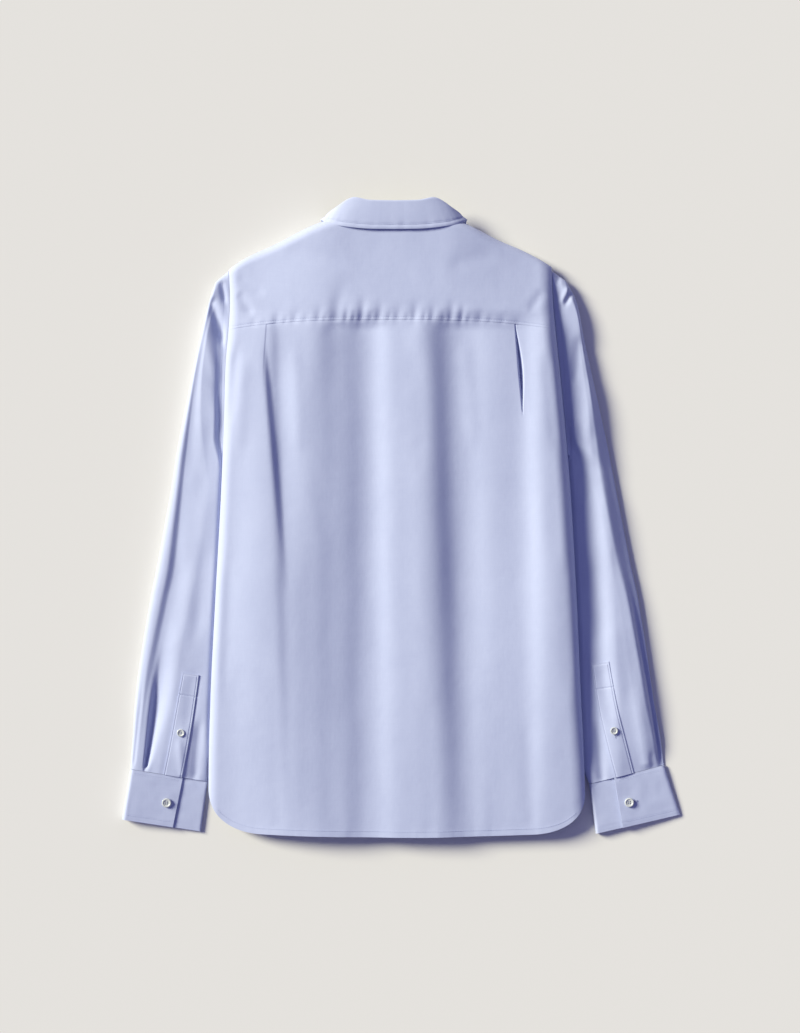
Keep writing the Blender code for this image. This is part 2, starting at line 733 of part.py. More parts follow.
def cuff_grid(side):
    """One strip: the overlap on top, round the outer fold, beneath, and the underlap."""
    under_z = CUFF_TOP_Z - STIFF_WALL - LAY_GAP
    rows = []
    for down in (0.0, 0.5, 1.0):
        end = mix(*CUFF_ENDS[side], down)
        path = [(end, CUFF_TOP_Z), (0.5 * end, CUFF_TOP_Z), (0.05, CUFF_TOP_Z)]
        for k in range(1, 6):
            angle = math.pi * (0.5 - k / 6)
            rise = 0.5 * CUFF_TOP_Z
            path.append((0.05 - 0.05 * math.cos(angle), rise + rise * math.sin(angle)))
        path += [(0.05, 0.0), (0.35, 0.0), (0.65, 0.0), (0.965, 0.0)]
        for k in range(1, 5):
            angle = math.pi * (-0.5 + k / 5)
            rise = 0.5 * under_z
            path.append((0.965 + 0.035 * math.cos(angle), rise + rise * math.sin(angle)))
        path += [(0.965, under_z), (0.7, under_z), (UNDERLAP_END, under_z)]
        if side == RIGHT:
            path.reverse()
        line = []
        for t, z in path:
            place = cuff_corner(side, t, down)
            line.append(Vector((place.x, place.y, z)))
        rows.append(line)
    return rows


# ---------------------------------------------------------------- the collar

def collar_rows(turn):
    """Neck seam, fold line, fall's edge and the way out of the collar, at one turn."""
    share, sign = abs(turn), (1 if turn >= 0 else -1)
    out = []
    for part in ("neck", "fold", "edge"):
        x = NECK_X + sign * COLLAR.at(part + "_x", share)
        out.append(Vector((x, COLLAR.at(part + "_y", share), COLLAR.at(part + "_z", share))))
    angle = math.pi * smooth((share - 0.24) / 0.44)
    away = Vector((sign * math.sin(angle), 0.0, math.cos(angle)))
    return (*out, away)


COLLAR_TURNS = [-1 + 2 * k / 36 for k in range(37)]


def stand_grid():
    rows = [[], [], []]
    for turn in COLLAR_TURNS:
        neck, fold, _, _ = collar_rows(turn)
        for row, share in zip(rows, (0.0, 0.5, 0.97)):
            row.append(neck.lerp(fold, share))
    return rows


def fall_grid():
    """Rows from the fall's edge up to the fold and just over it."""
    rows = [[], [], [], [], []]
    for turn in COLLAR_TURNS:
        neck, fold, edge, away = collar_rows(turn)
        up = (fold - neck).normalized()
        start = fold + up * 1.6 + away * 3.0
        rows[0].append(edge)
        rows[1].append(start.lerp(edge, 0.66) + away * 0.3)
        rows[2].append(start.lerp(edge, 0.33) + away * 0.4)
        rows[3].append(start)
        rows[4].append(fold + up * 2.8 + away * 1.7)
    return rows


# ---------------------------------------------------------------- placket and buttons

def make_strip(name, x_low, x_high, y_low, y_high, z, wall, look):
    rows = []
    for k in range(9):
        y = mix(y_low, y_high, k / 8)
        rows.append([Vector((mix(x_high, x_low, j / 2), y, z)) for j in range(3)])
    return shell(name, rows, wall, look)


def make_button(name, x, y, z, radius, look, face_down=False):
    """A turned disc with a raised rim and a dished middle; z is its back face."""
    thick = BUTTON_THICK
    profile = (
        (0.72 * radius, 0.0), (0.95 * radius, 0.25 * thick), (radius, 0.6 * thick),
        (0.90 * radius, thick), (0.72 * radius, 0.98 * thick), (0.60 * radius, 0.72 * thick),
    )
    steps = 16
    sign = -1 if face_down else 1
    points, faces = [], []
    for r, h in profile:
        for k in range(steps):
            angle = 2 * math.pi * k / steps
            points.append(Vector((x + r * math.cos(angle), y + sign * r * math.sin(angle),
                                  z + sign * h)))
    for i in range(len(profile) - 1):
        for k in range(steps):
            n = (k + 1) % steps
            faces.append((i * steps + k, i * steps + n, (i + 1) * steps + n, (i + 1) * steps + k))
    faces.append(tuple(reversed(range(steps))))
    last = (len(profile) - 1) * steps
    faces.append(tuple(last + k for k in range(steps)))
    return add_object(name, points, faces, look)


BUTTON_PLACES = (
    # name, x, y, radius
    ("cuff_button_left", -280.9, -343.2, CUFF_BUTTON_R),
    ("cuff_button_right", 272.5, -342.7, CUFF_BUTTON_R),
)
GAUNTLET_BUTTONS = (
    {"name": "gauntlet_button_left", "ring": 10.7, "t": 0.54},
    {"name": "gauntlet_button_right", "ring": 10.64, "t": 0.51},
)

CLOTH = (0.52, 0.585, 0.80)
PEARL = (0.80, 0.80, 0.78)


def make_body(cloth):
    shell("back", back_grid(), WALL, cloth, level_sides=(0, -1))
    shell("yoke", yoke_grid(), WALL, cloth)
    shell("front_left", front_grid(LEFT), WALL, cloth, level_sides=(-1,))
    shell("front_right", front_grid(RIGHT), WALL, cloth, level_sides=(0,))
    middle = CENTRE_X + PLACKET_SHIFT
    make_strip("placket", middle - PLACKET_WIDTH / 2, middle + PLACKET_WIDTH / 2,
               hem_y(0.5) + FRONT_HEM_RISE, 274.0, BUTTON_THICK + LAY_GAP, WALL, cloth)


def make_sleeves(cloth, pearl):
    for side in (LEFT, RIGHT):
        grid = sleeve_grid(side)
        lining = sleeve_lining(grid, WALL)
        shell("sleeve_" + SIDES[side], grid, WALL, cloth, ring=True, inner=lining)
        strip = gauntlet_grid(side, grid)
        shell("gauntlet_" + SIDES[side], strip, GAUNTLET_WALL, cloth)
        shell("cuff_" + SIDES[side], cuff_grid(side), STIFF_WALL, cloth)
        spot = GAUNTLET_BUTTONS[side]
        seat = at_grid(grid, spot["ring"], sleeve_column(side, spot["ring"], spot["t"]))
        rise = GAUNTLET_GAP + GAUNTLET_WALL + LAY_GAP + 0.2
        make_button(spot["name"], seat.x, seat.y, seat.z + rise, SMALL_BUTTON_R, pearl)
    for name, x, y, radius in BUTTON_PLACES:
        make_button(name, x, y, CUFF_TOP_Z + LAY_GAP, radius, pearl)


def make_collar(cloth, pearl):
    shell("collar_stand", stand_grid(), STIFF_WALL, cloth)
    shell("collar_fall", fall_grid(), STIFF_WALL, cloth)
    make_button("collar_button", NECK_X, COLLAR_BUTTON_Y, 4.4, BUTTON_R, pearl, True)


def make_front_buttons(pearl):
    for k in range(FRONT_BUTTONS):
        y = FRONT_BUTTON_TOP_Y - FRONT_BUTTON_PITCH * k
        make_button(f"front_button_{k + 1}", CENTRE_X, y, BUTTON_THICK, BUTTON_R, pearl, True)


def main():
    clear_scene()
    cloth = material("shirt_cloth", CLOTH, 0.8, 0.3)
    pearl = material("button_pearl", PEARL, 0.25)
    make_body(cloth)
    make_sleeves(cloth, pearl)
    make_collar(cloth, pearl)
    make_front_buttons(pearl)


main()
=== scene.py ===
"""The looks of a plain casual shirt that lies face down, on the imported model's frame.

The cloth's form is worked out here from the same sizes as the model's, in millimetres,
with the finer folds, puckers and stitches added. +Y runs from the hem to the collar,
+Z is up from the surface.
"""
import math
from bisect import bisect_right

import bmesh
import bpy
import numpy as np
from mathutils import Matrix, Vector, noise


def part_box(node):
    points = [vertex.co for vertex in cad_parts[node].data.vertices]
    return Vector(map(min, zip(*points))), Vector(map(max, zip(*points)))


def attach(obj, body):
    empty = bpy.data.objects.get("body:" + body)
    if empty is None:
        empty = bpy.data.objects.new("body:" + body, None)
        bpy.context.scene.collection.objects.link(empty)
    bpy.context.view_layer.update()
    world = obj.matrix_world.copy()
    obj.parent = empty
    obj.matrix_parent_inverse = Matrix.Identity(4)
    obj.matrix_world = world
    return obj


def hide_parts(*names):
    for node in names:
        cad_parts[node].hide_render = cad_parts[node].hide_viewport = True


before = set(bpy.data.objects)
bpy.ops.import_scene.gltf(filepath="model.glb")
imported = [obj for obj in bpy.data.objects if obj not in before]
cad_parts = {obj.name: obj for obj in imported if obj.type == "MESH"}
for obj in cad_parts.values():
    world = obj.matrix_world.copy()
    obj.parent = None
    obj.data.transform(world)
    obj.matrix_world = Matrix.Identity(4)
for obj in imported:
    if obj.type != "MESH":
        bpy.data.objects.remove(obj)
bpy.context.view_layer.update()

MM = 0.001

# Cloth and seams
CLOTH_WALL = 0.7        # the cloth as it shows; the model's wall is thicker
STIFF_WALL = 1.5
SEAM_GAP = 0.06
LAY_GAP = 0.4
ARMHOLE_GAP = 0.35
ARMHOLE_LOW = 5.0       # height of the front's edge along the armhole
WALL = 1.2              # the model's wall, which sets where layers lie

# Body
CENTRE_X = -8.0
SIDE_ROLL = (12.0, 17.0)
HEM_END_Y = -330.0      # the hem's height at the right side seam
HEM_SLANT = 7.0         # how much further up it ends on the left
HEM_CORNER = 66.0       # width of its rounded corners
HEM_CORNER_DROP = (54.0, 48.0)
CORNER_POWER = 2.3
HEM_BOW = 6.0
HEM_TURN = 7.0          # depth of the turned and stitched hem
HEM_THICK = 0.25        # how much the turned hem stands out
HEM_UNEVEN = 0.22       # ripples along its stitching
FRONT_HEM_RISE = 8.0
YOKE_SEAM_Y = 221.8
YOKE_SEAM_BOW = 11.5
YOKE_SEAM_SINK = 0.2    # how far the back sinks along the yoke's seam
YOKE_STITCH = 3.0       # the topstitching's distance above the yoke's seam
UNDERARM_Y = 73.0
SHOULDER_Y = 293.0
FRONT_YOKE_DROP = 35.0
SHOULDER_NOSE = 12.0

# Neck and front
NECK_X = -9.0
NECK_HALF = 78.0
PLACKET_WIDTH = 32.0
PLACKET_SHIFT = 0.5
FRONT_OVERLAP = 14.0
BUTTON_THICK = 2.4
FRONT_HUMPS = ((18.0, 50.0), (19.0, 54.0))  # half widths of each front's lift over the placket
COLLAR_LIFT = 4.4       # how the fronts ride over the collar's points beneath them
COLLAR_SPREAD, COLLAR_LOW_Y = 112.0, 205.0

LEFT, RIGHT = 0, 1
SIDES = ("left", "right")
UP, DOWN = Vector((0, 0, 1)), Vector((0, 0, -1))
ROLL_STEPS = 10


class Table:
    """Rows of named columns, read at any station along the first one, on a smooth curve."""

    def __init__(self, names, *rows):
        values = np.array(rows, dtype=float)
        keys = values[:, 0]
        self.keys = keys.tolist()
        columns = dict(zip(names.split(), values.T))
        self.columns = {name: c.tolist() for name, c in columns.items()}
        self.slopes = {name: np.gradient(c, keys).tolist() for name, c in columns.items()}

    def at(self, name, station):
        keys, column, slopes = self.keys, self.columns[name], self.slopes[name]
        x = min(max(station, keys[0]), keys[-1])
        i = min(bisect_right(keys, x) - 1, len(keys) - 2)
        span = keys[i + 1] - keys[i]
        t = (x - keys[i]) / span
        rise = (2 * t**3 - 3 * t**2 + 1) * column[i] + (3 * t**2 - 2 * t**3) * column[i + 1]
        lean = (t**3 - 2 * t**2 + t) * slopes[i] + (t**3 - t**2) * slopes[i + 1]
        return rise + span * lean


# The plan outline of the body, from hem to shoulder tip.
BODY = Table(
    "y left right",
    (-330, -231.0, 219.5),
    (-293, -230.6, 218.3),
    (-221, -228.6, 214.6),
    (-101, -222.6, 209.3),
    (60, -214.2, 199.5),
    (134, -211.8, 193.0),
    (182, -210.2, 188.2),
    (227, -206.4, 183.4),
    (252, -205.0, 181.2),
    (293, -206.5, 179.6),
)

# Heights of the back above the surface, and of the seams along its sides. The back comes
# up to its middle height within the given share of its width from each side.
SIDE_SHARE = 0.34
HEIGHT = Table(
    "y left mid right seam_left seam_right",
    (-383, 9.5, 24.0, 20.0, 4.6, 9.0),
    (-300, 17.5, 27.5, 25.0, 9.6, 12.0),
    (-200, 24.0, 30.5, 30.0, 12.5, 14.0),
    (0, 27.0, 32.5, 31.5, 14.0, 15.0),
    (150, 27.0, 33.5, 31.5, 14.5, 15.0),
    (232, 25.0, 33.0, 28.0, 14.5, 15.0),
    (300, 17.5, 30.0, 19.0, 11.0, 11.5),
    (360, 15.0, 30.0, 15.0, 9.0, 9.0),
)

# How the front rides over the sleeve that is tucked beneath it: how far in, and how high.
TUCK = Table(
    "y reach lift",
    (-383, 0, 0.8),
    (-330, 0, 2.4),
    (-300, 8, 6.8),
    (-274, 24, 8.6),
    (-240, 34, 9.4),
    (-192, 44, 9.8),
    (-120, 52, 10.0),
    (-20, 60, 10.0),
    (30, 52, 10.0),
    (66, 18, 10.0),
    (95, 2, 6.0),
    (130, 0, 2.6),
    (293, 0, 2.6),
)
TUCK_RAMP = 38.0

# The flanks of the back's long soft folds, from left to right: where each rises or falls
# (place at the yoke seam and at the hem), how wide it is, and by how much at the seam,
# half way down and at the hem.
FOLDS_START, FOLDS_LENGTH = 235.0, 615.0
FLANKS = (
    (-186.0, -192.0, 34.0, 4.2, 8.0, 1.8),
    (-152.0, -136.0, 10.0, -3.4, -3.2, -0.3),
    (-112.0, -120.0, 22.0, 1.6, -3.0, -1.6),
    (-90.0, -94.0, 24.0, -6.6, -5.4, -3.0),
    (-56.0, -60.0, 26.0, -5.8, -6.4, -4.4),
    (-25.0, -18.0, 22.0, 8.4, 7.8, 4.2),
    (14.0, 18.0, 24.0, 4.2, 2.2, 0.8),
    (43.0, 62.0, 26.0, -11.0, -13.6, -6.0),
    (92.0, 98.0, 26.0, 4.2, 5.0, 0.8),
    (132.0, 128.0, 16.0, -0.8, 0.2, 0.6),
    (156.0, 162.0, 22.0, 7.6, 9.2, 2.4),
)

# The two pleats let into the yoke seam: place across, length, drop beside the folded edge
# and how far the drop reaches, then the width, depth and length of the slit under the edge.
# The left one lies shut; the right one gapes in a lens below the seam.
PLEATS = (
    {"across": 0.1154, "length": 90.0, "drop": 0.5, "reach": 14.0,
     "gape_wide": 0.1, "gape_deep": 0.0, "gape_long": 40.0},
    {"across": 0.8756, "length": 150.0, "drop": 0.3, "reach": 9.0,
     "gape_wide": 4.2, "gape_deep": 8.5, "gape_long": 106.0},
)
PLEAT_EDGE = 1.4        # width of the drop itself

# The shoulder line in plan, from the left tip across the neck to the right tip.
SHOULDER = Table(
    "x y",
    (-207, 294.5),
    (-190, 306.0),
    (-150, 325.0),
    (-110, 345.0),
    (-90, 352.5),
    (-9, 357.0),
    (70, 351.5),
    (94, 340.5),
    (118, 328.5),
    (143, 318.0),
    (167, 305.5),
    (180, 297.5),
)

# The collar, from the middle of the back (0) round to the middle of the front (1):
# the neck seam, the fold line and the edge of the fall, each out from the middle.
COLLAR = Table(
    "turn neck_x neck_y neck_z fold_x fold_y fold_z edge_x edge_y edge_z",
    (0.00, 0, 348.0, 30.5, 0, 371.8, 31.0, 0, 340.6, 33.4),
    (0.12, 27, 348.0, 30.0, 29, 372.6, 30.6, 34, 341.2, 33.0),
    (0.24, 52, 347.0, 28.0, 50, 375.6, 28.2, 63, 344.6, 31.0),
    (0.36, 69, 343.5, 22.6, 68, 364.6, 23.4, 80, 349.0, 24.4),
    (0.48, 74, 336.0, 14.6, 79, 354.6, 15.2, 87.5, 353.6, 13.0),
    (0.54, 73, 329.0, 11.0, 78, 351.0, 11.0, 86, 351.0, 2.6),
    (0.60, 71, 321.0, 8.0, 77, 346.0, 7.0, 87, 337.0, 0.6),
    (0.72, 58, 300.0, 5.2, 61, 327.0, 6.4, 77, 300.0, 0.6),
    (0.86, 33, 283.0, 4.8, 35, 312.0, 6.0, 66, 277.0, 0.6),
    (1.00, 0.2, 277.0, 4.8, 7, 305.0, 5.8, 50, 260.0, 0.6),
)


def smooth(t):
    t = min(max(t, 0.0), 1.0)
    return t * t * (3 - 2 * t)


def mix(a, b, t):
    return a + (b - a) * t


def bell(off, wide):
    """1 in the middle of a fold or groove, fading to either side."""
    return math.exp(-((off / wide) ** 2))


def body_width(y):
    return BODY.at("right", y) - BODY.at("left", y)


def body_x(w, y):
    """The place at a share w of the way across the body."""
    return mix(BODY.at("left", y), BODY.at("right", y), w)


def corner_rise(drop, share):
    """Rise of the hem at its rounded corner, from none (share 0) to the whole drop (share 1)."""
    return drop * (1 - (1 - share**CORNER_POWER) ** (1 / CORNER_POWER))


def hem_y(w, rise=0.0):
    """The hem's line at a share w of the way across, with its two rounded corners."""
    width = body_width(HEM_END_Y)
    low = HEM_END_Y + HEM_SLANT * (1 - w)
    drop_left, drop_right = HEM_CORNER_DROP
    y = low - mix(drop_left, drop_right, w) - HEM_BOW * math.sin(math.pi * w)
    y += corner_rise(drop_left, 1 - min(w * width / HEM_CORNER, 1.0))
    y += corner_rise(drop_right, 1 - min((1 - w) * width / HEM_CORNER, 1.0))
    return y + rise


def seam_y(w):
    return YOKE_SEAM_Y + YOKE_SEAM_BOW * (1 - abs(2 * w - 1) ** 3)


def fold_rise(x, y):
    """How far the soft folds lift or lower the back at a point."""
    down = min(max((FOLDS_START - y) / FOLDS_LENGTH, 0.0), 1.0)
    ease = smooth((FOLDS_START + 12.0 - y) / 27.0)
    rise = 0.0
    for seam_x, hem_x, wide, top, middle, hem in FLANKS:
        size = mix(top, middle, 2 * down) if down < 0.5 else mix(middle, hem, 2 * down - 1)
        off = (x - mix(seam_x, hem_x, down)) / (0.6 * wide)
        rise += 0.5 * size * (1 + math.tanh(off)) * ease
    return rise


def pleat_dip(w, y):
    """The drop beside each pleat's folded edge, fading away from the yoke seam."""
    dip = 0.0
    for pleat in PLEATS:
        off = (w - pleat["across"]) * body_width(y)
        below = (seam_y(w) - y) / pleat["length"]
        if -0.05 < below < 1.0 and 0 < off < pleat["reach"]:
            fade = 1 - smooth(below)
            recover = 1 - smooth((off - PLEAT_EDGE) / (pleat["reach"] - PLEAT_EDGE))
            dip += pleat["drop"] * fade * smooth(off / PLEAT_EDGE) * recover
    return dip


def top_height(x, y):
    """Height of the outer face of the back and yoke, away from their rolled edges."""
    left, right = BODY.at("left", y), BODY.at("right", y)
    w = (x - left) / (right - left)
    middle = HEIGHT.at("mid", y)
    z = mix(HEIGHT.at("left", y), middle, smooth(w / SIDE_SHARE))
    z = mix(z, HEIGHT.at("right", y), smooth((w - (1 - SIDE_SHARE)) / SIDE_SHARE))
    return z + fold_rise(x, y)


def side_height(side, y):
    return HEIGHT.at("seam_" + SIDES[side], y)


def edge_distance(side, x, y):
    return x - BODY.at("left", y) if side == LEFT else BODY.at("right", y) - x


def rolled(near, far, share):
    """A quarter of an ellipse from the seam's height (share 0) to the panel's (share 1)."""
    share = min(max(share, 0.0), 1.0)
    return near + (far - near) * math.sqrt(1 - (1 - share) ** 2)


def front_under(x, y):
    """Height of the front's outer face, which is the underside of the laid shirt."""
    side = LEFT if x < CENTRE_X else RIGHT
    out = edge_distance(side, x, y)
    reach, lift = TUCK.at("reach", y), TUCK.at("lift", y)
    ride = lift * (1 - smooth((out - reach - 5.0) / TUCK_RAMP))
    off = abs(x - NECK_X)
    neck = COLLAR_LIFT * smooth((COLLAR_SPREAD - off) / 18.0) * smooth((y - COLLAR_LOW_Y) / 26.0)
    return max(0.0, ride, neck)


def hump(off, height, flat, foot):
    """A lift of the given height, level over its flat part and gone at its foot."""
    return height * (1 - smooth((abs(off) - flat) / (foot - flat)))


def front_height(side, x, y):
    """The same with the buttoned edges lifted over the placket and its buttons."""
    off = x - CENTRE_X
    lower = BUTTON_THICK + LAY_GAP + WALL + LAY_GAP
    flat, foot = FRONT_HUMPS[side]
    lift = hump(off, lower + WALL + LAY_GAP if side == RIGHT else lower, flat, foot)
    neck = front_under(x, y)
    if side == RIGHT and off < flat and neck > 0:
        neck += WALL + LAY_GAP
    return max(lift, neck)


def front_top(x):
    """The front's upper edge: its seam to the yoke, then the neckline."""
    off = abs(x - NECK_X)
    seam = SHOULDER.at("y", x) - FRONT_YOKE_DROP
    if off >= NECK_HALF:
        return seam - SEAM_GAP
    turns = [0.60 + 0.4 * k / 24 for k in range(25)]
    offs = [-COLLAR.at("neck_x", t) for t in turns]
    ys = [COLLAR.at("neck_y", t) for t in turns]
    return float(np.interp(-off, offs, ys)) - SEAM_GAP - 1.0


# Rings down each sleeve, from just past the armhole (1) to the cuff (12): the fold at its
# outer edge, the fold that is tucked under the body, how high the sleeve puffs, and the
# heights beside the tucked fold, on top and beneath.
SLEEVES = (
    Table(
        "ring outer_x outer_y inner_x inner_y puff inner_top inner_low",
        (1, -222.5, 280, -217.5, 70, 13.5, 11.2, 4.0),
        (2, -231.0, 254, -214.5, 60, 15.0, 8.6, 0.8),
        (3, -243.0, 204, -206.0, 50, 16.5, 8.4, 0.0),
        (4, -257.0, 136, -194.0, 34, 15.6, 8.4, 0.0),
        (5, -268.0, 80, -178.0, 20, 15.4, 8.6, 0.0),
        (6, -276.6, 26, -160.0, 8, 15.2, 8.6, 0.0),
        (7, -291.0, -53, -167.0, -72, 15.2, 8.6, 0.0),
        (8, -300.6, -101, -176.0, -120, 14.6, 8.6, 0.0),
        (9, -312.6, -173, -190.0, -192, 14.0, 8.4, 0.0),
        (10, -318.6, -221, -203.0, -240, 13.5, 8.0, 0.0),
        (11, -321.5, -262, -217.0, -279, 11.0, 7.0, 0.0),
        (12, -324.6, -302.6, -232.0, -318.2, 8.2, 5.8, 0.0),
    ),
    Table(
        "ring outer_x outer_y inner_x inner_y puff inner_top inner_low",
        (1, 197.0, 281, 202.5, 70, 13.5, 11.2, 4.0),
        (2, 210.4, 254, 199.0, 60, 13.4, 8.6, 0.8),
        (3, 220.5, 204, 191.0, 50, 13.4, 8.4, 0.0),
        (4, 235.5, 136, 179.0, 34, 14.2, 8.4, 0.0),
        (5, 247.5, 80, 164.0, 20, 14.4, 8.6, 0.0),
        (6, 258.0, 26, 148.0, 8, 14.6, 8.6, 0.0),
        (7, 273.5, -53, 153.0, -72, 14.6, 8.6, 0.0),
        (8, 283.8, -101, 161.0, -120, 14.4, 8.6, 0.0),
        (9, 295.4, -173, 176.0, -191, 14.0, 8.4, 0.0),
        (10, 302.2, -221, 190.0, -239, 13.5, 8.0, 0.0),
        (11, 309.8, -262, 206.5, -281, 11.0, 7.0, 0.0),
        (12, 314.8, -298.2, 224.8, -320.6, 8.2, 5.8, 0.0),
    ),
)
RINGS = 12
CUFF_FOOT = (((-334.4, -362.9), (-240.4, -378.1)), ((334.1, -357.8), (232.8, -380.3)))
CUFF_TOP_Z = 8.2
CUFF_ENDS = ((0.677, 0.645), (0.669, 0.682))    # the overlap's edge, at the sleeve and foot
UNDERLAP_END = 0.45
SLEEVE_END_ROLL = 11.0
GAUNTLETS = (
    # top ring, then the stitched and free edges at the top and at the cuff
    (9.1, (0.427, 0.585), (0.428, 0.668)),
    (8.9, (0.392, 0.56), (0.410, 0.660)),
)
GAUNTLET_WALL = 1.0     # the model's
GAUNTLET_SHOWN = 0.9    # as it is made here
GAUNTLET_GAP = 0.75
VALLEY = 11.0           # sleeve height close beside the body, above the underarm


def front_armhole_height(side, y):
    """Height of a front's side edge: at the side seam, and low along the armhole."""
    seam = side_height(side, y) - SEAM_GAP
    return mix(seam, min(seam, ARMHOLE_LOW), smooth((y - UNDERARM_Y) / 45.0))


def cuff_corner(side, t, down):
    """Plan position on a cuff, down from its seam to its foot."""
    table = SLEEVES[side]
    outer = Vector((table.at("outer_x", RINGS), table.at("outer_y", RINGS)))
    inner = Vector((table.at("inner_x", RINGS), table.at("inner_y", RINGS)))
    foot_outer, foot_inner = (Vector(p) for p in CUFF_FOOT[side])
    head = outer.lerp(inner, t)
    foot = foot_outer.lerp(foot_inner, t)
    start = (SEAM_GAP + 0.3) / (foot - head).length
    return head.lerp(foot, mix(start, 1.0, down))


def collar_rows(turn):
    """Neck seam, fold line, fall's edge and the way out of the collar, at one turn."""
    share, sign = abs(turn), (1 if turn >= 0 else -1)
    out = []
    for part in ("neck", "fold", "edge"):
        x = NECK_X + sign * COLLAR.at(part + "_x", share)
        out.append(Vector((x, COLLAR.at(part + "_y", share), COLLAR.at(part + "_z", share))))
    angle = math.pi * smooth((share - 0.24) / 0.44)
    away = Vector((sign * math.sin(angle), 0.0, math.cos(angle)))
    return (*out, away)


# ---------------------------------------------------------------- fine folds and puckers

def ripple(x, y, z, size):
    """Smooth noise between about -1 and 1, over a distance given in millimetres."""
    return noise.noise(Vector((x / size, y / size, z / size)))


def fold(x0, y0, x1, y1, wide, depth, bow=0.0, start=0.25, stop=0.3, flare=None,
         edge=0, steep=1.3, shut=1.0):
    """One listed fold: up along its middle where its depth is positive, else down.

    It has its two ends, its width to either side, its depth and its bow sideways. It fades in
    and out over the shares start and stop. With a flare, its width grows from that share of it.
    The edge is the side that lies under a pleat's folded edge, where the fold is only so steep
    in millimetres, times the share shut at its start, as it may open out along it.
    """
    return x0, y0, x1, y1, wide, depth, bow, start, stop, flare, edge, steep, shut


def crease(x, y, line):
    """How far one such fold lifts or lowers the cloth at a point."""
    x0, y0, x1, y1, broad, depth, bow, start, stop, flare, edge, steep, shut = line
    along_x, along_y = x1 - x0, y1 - y0
    length = math.hypot(along_x, along_y)
    t = ((x - x0) * along_x + (y - y0) * along_y) / length**2
    if not -0.02 < t < 1.02:
        return 0.0
    off = ((x - x0) * along_y - (y - y0) * along_x) / length
    off -= bow * 4 * t * (1 - t)
    wide = broad * (0.6 + 0.8 * smooth(1.2 - 1.4 * abs(t - 0.45)))
    if flare is not None:
        wide = broad * mix(flare, 1.2, t)
    if off * edge < 0:
        wide = steep * mix(shut, 1.0, t)
    if abs(off) > 2.5 * wide:
        return 0.0
    taper = smooth(min(t / start, (1 - t) / stop))
    return depth * taper * bell(off, wide)


def creases(x, y, lines):
    return sum(crease(x, y, line) for line in lines)


# Small folds of the back and yoke, on top of the long soft ones.
BACK_CREASES = (
    fold(-160, 216, -130, -120, 32.0, -4.4, start=0.2, stop=0.65, flare=0.7, edge=-1, steep=5.0),
    fold(-196, 212, -208, 96, 5.0, -1.6),
    fold(-188, 196, -196, 60, 7.0, 1.2),
    fold(-128, 214, -122, 60, 6.0, 0.8),
    fold(-98, 190, -92, -40, 9.0, -0.8, bow=6),
    fold(14, 212, 22, 40, 8.0, -0.8, bow=-4),
    fold(74, 216, 86, 70, 7.0, 0.9),
    fold(172, 206, 186, 60, 6.0, -1.4),
    fold(160, 150, 170, -60, 9.0, 0.8, bow=5),
    fold(-205, -40, -212, -220, 7.0, -1.0),
    fold(196, -30, 202, -230, 7.0, -1.1),
    fold(-150, -180, -146, -376, 8.0, -0.5, stop=0.05),
    fold(-60, -220, -64, -382, 10.0, 0.5, stop=0.05),
    fold(30, -200, 34, -384, 9.0, -0.5, stop=0.05),
    fold(92, -150, 98, -384, 8.0, 0.5, stop=0.05),
    fold(150, -230, 156, -372, 7.0, -0.5, stop=0.05),
    fold(-196, 268, -176, 236, 4.5, -1.2),
    fold(-200, 286, -160, 262, 5.0, -0.8),
    fold(172, 272, 150, 240, 4.5, -1.0),
    fold(-140, 318, -60, 296, 8.0, -0.8, bow=-4),
    fold(120, 312, 50, 292, 8.0, -0.7, bow=4),
)

# Short gathers along the yoke seam: place, width, height above the seam, depth. They are
# this much deeper above the seam, and shallower below it.
PUCKER_ABOVE, PUCKER_BELOW = 1.25, 0.4
PUCKERS = (
    (-176, 5, 12, 0.5), (-163, 4, 9, 0.3), (-149, 5, 16, 0.7), (-138, 3, 9, 0.4), (-127, 5, 15, 0.8),
    (-114, 4, 10, 0.5), (-99, 5, 19, 1.0), (-91, 3, 9, 0.5), (-78, 9, 42, 1.9), (-66, 4, 20, 1.1),
    (-57, 3, 12, 0.6), (-48, 5, 27, 1.5), (-37, 3, 11, 0.5), (-27, 5, 22, 1.1), (-15, 3, 10, 0.5),
    (-5, 5, 18, 0.8), (7, 3, 9, 0.5), (15, 5, 22, 1.2), (27, 3, 12, 0.6), (36, 5, 20, 1.1),
    (50, 4, 13, 0.7), (58, 5, 24, 1.4), (71, 4, 20, 1.1), (80, 3, 9, 0.5), (93, 5, 16, 0.8),
    (105, 3, 8, 0.4), (120, 5, 12, 0.5), (138, 4, 8, 0.3),
)


def pucker(x, above):
    """Short uneven gathers where the yoke is sewn to the back; they lean and fade away from it."""
    dip = 0.0
    for place, wide, tall, depth in PUCKERS:
        reach = 1.3 * tall if above > 0 else 0.8 * tall
        share = abs(above) / reach
        if share < 1:
            off = (x - place - 0.12 * above) / (0.8 * wide * (1 + 0.7 * share))
            held = 0.7 + 0.3 * smooth(abs(above) / 5.0)
            dip += depth * held * (1 - smooth(share)) * math.exp(-off * off)
    return -dip * (PUCKER_ABOVE if above > 0 else mix(PUCKER_ABOVE, PUCKER_BELOW, smooth(-above / 2.5)))


def drift(x, y, seed, size=48.0, depth=0.4):
    """The slight unevenness of hanging cloth: long down the shirt, with finer ripples over it."""
    broad = ripple(x, 0.22 * y, seed, size)
    fine = ripple(x, 0.4 * y, seed + 9, 0.4 * size)
    return depth * (broad + 0.35 * fine)


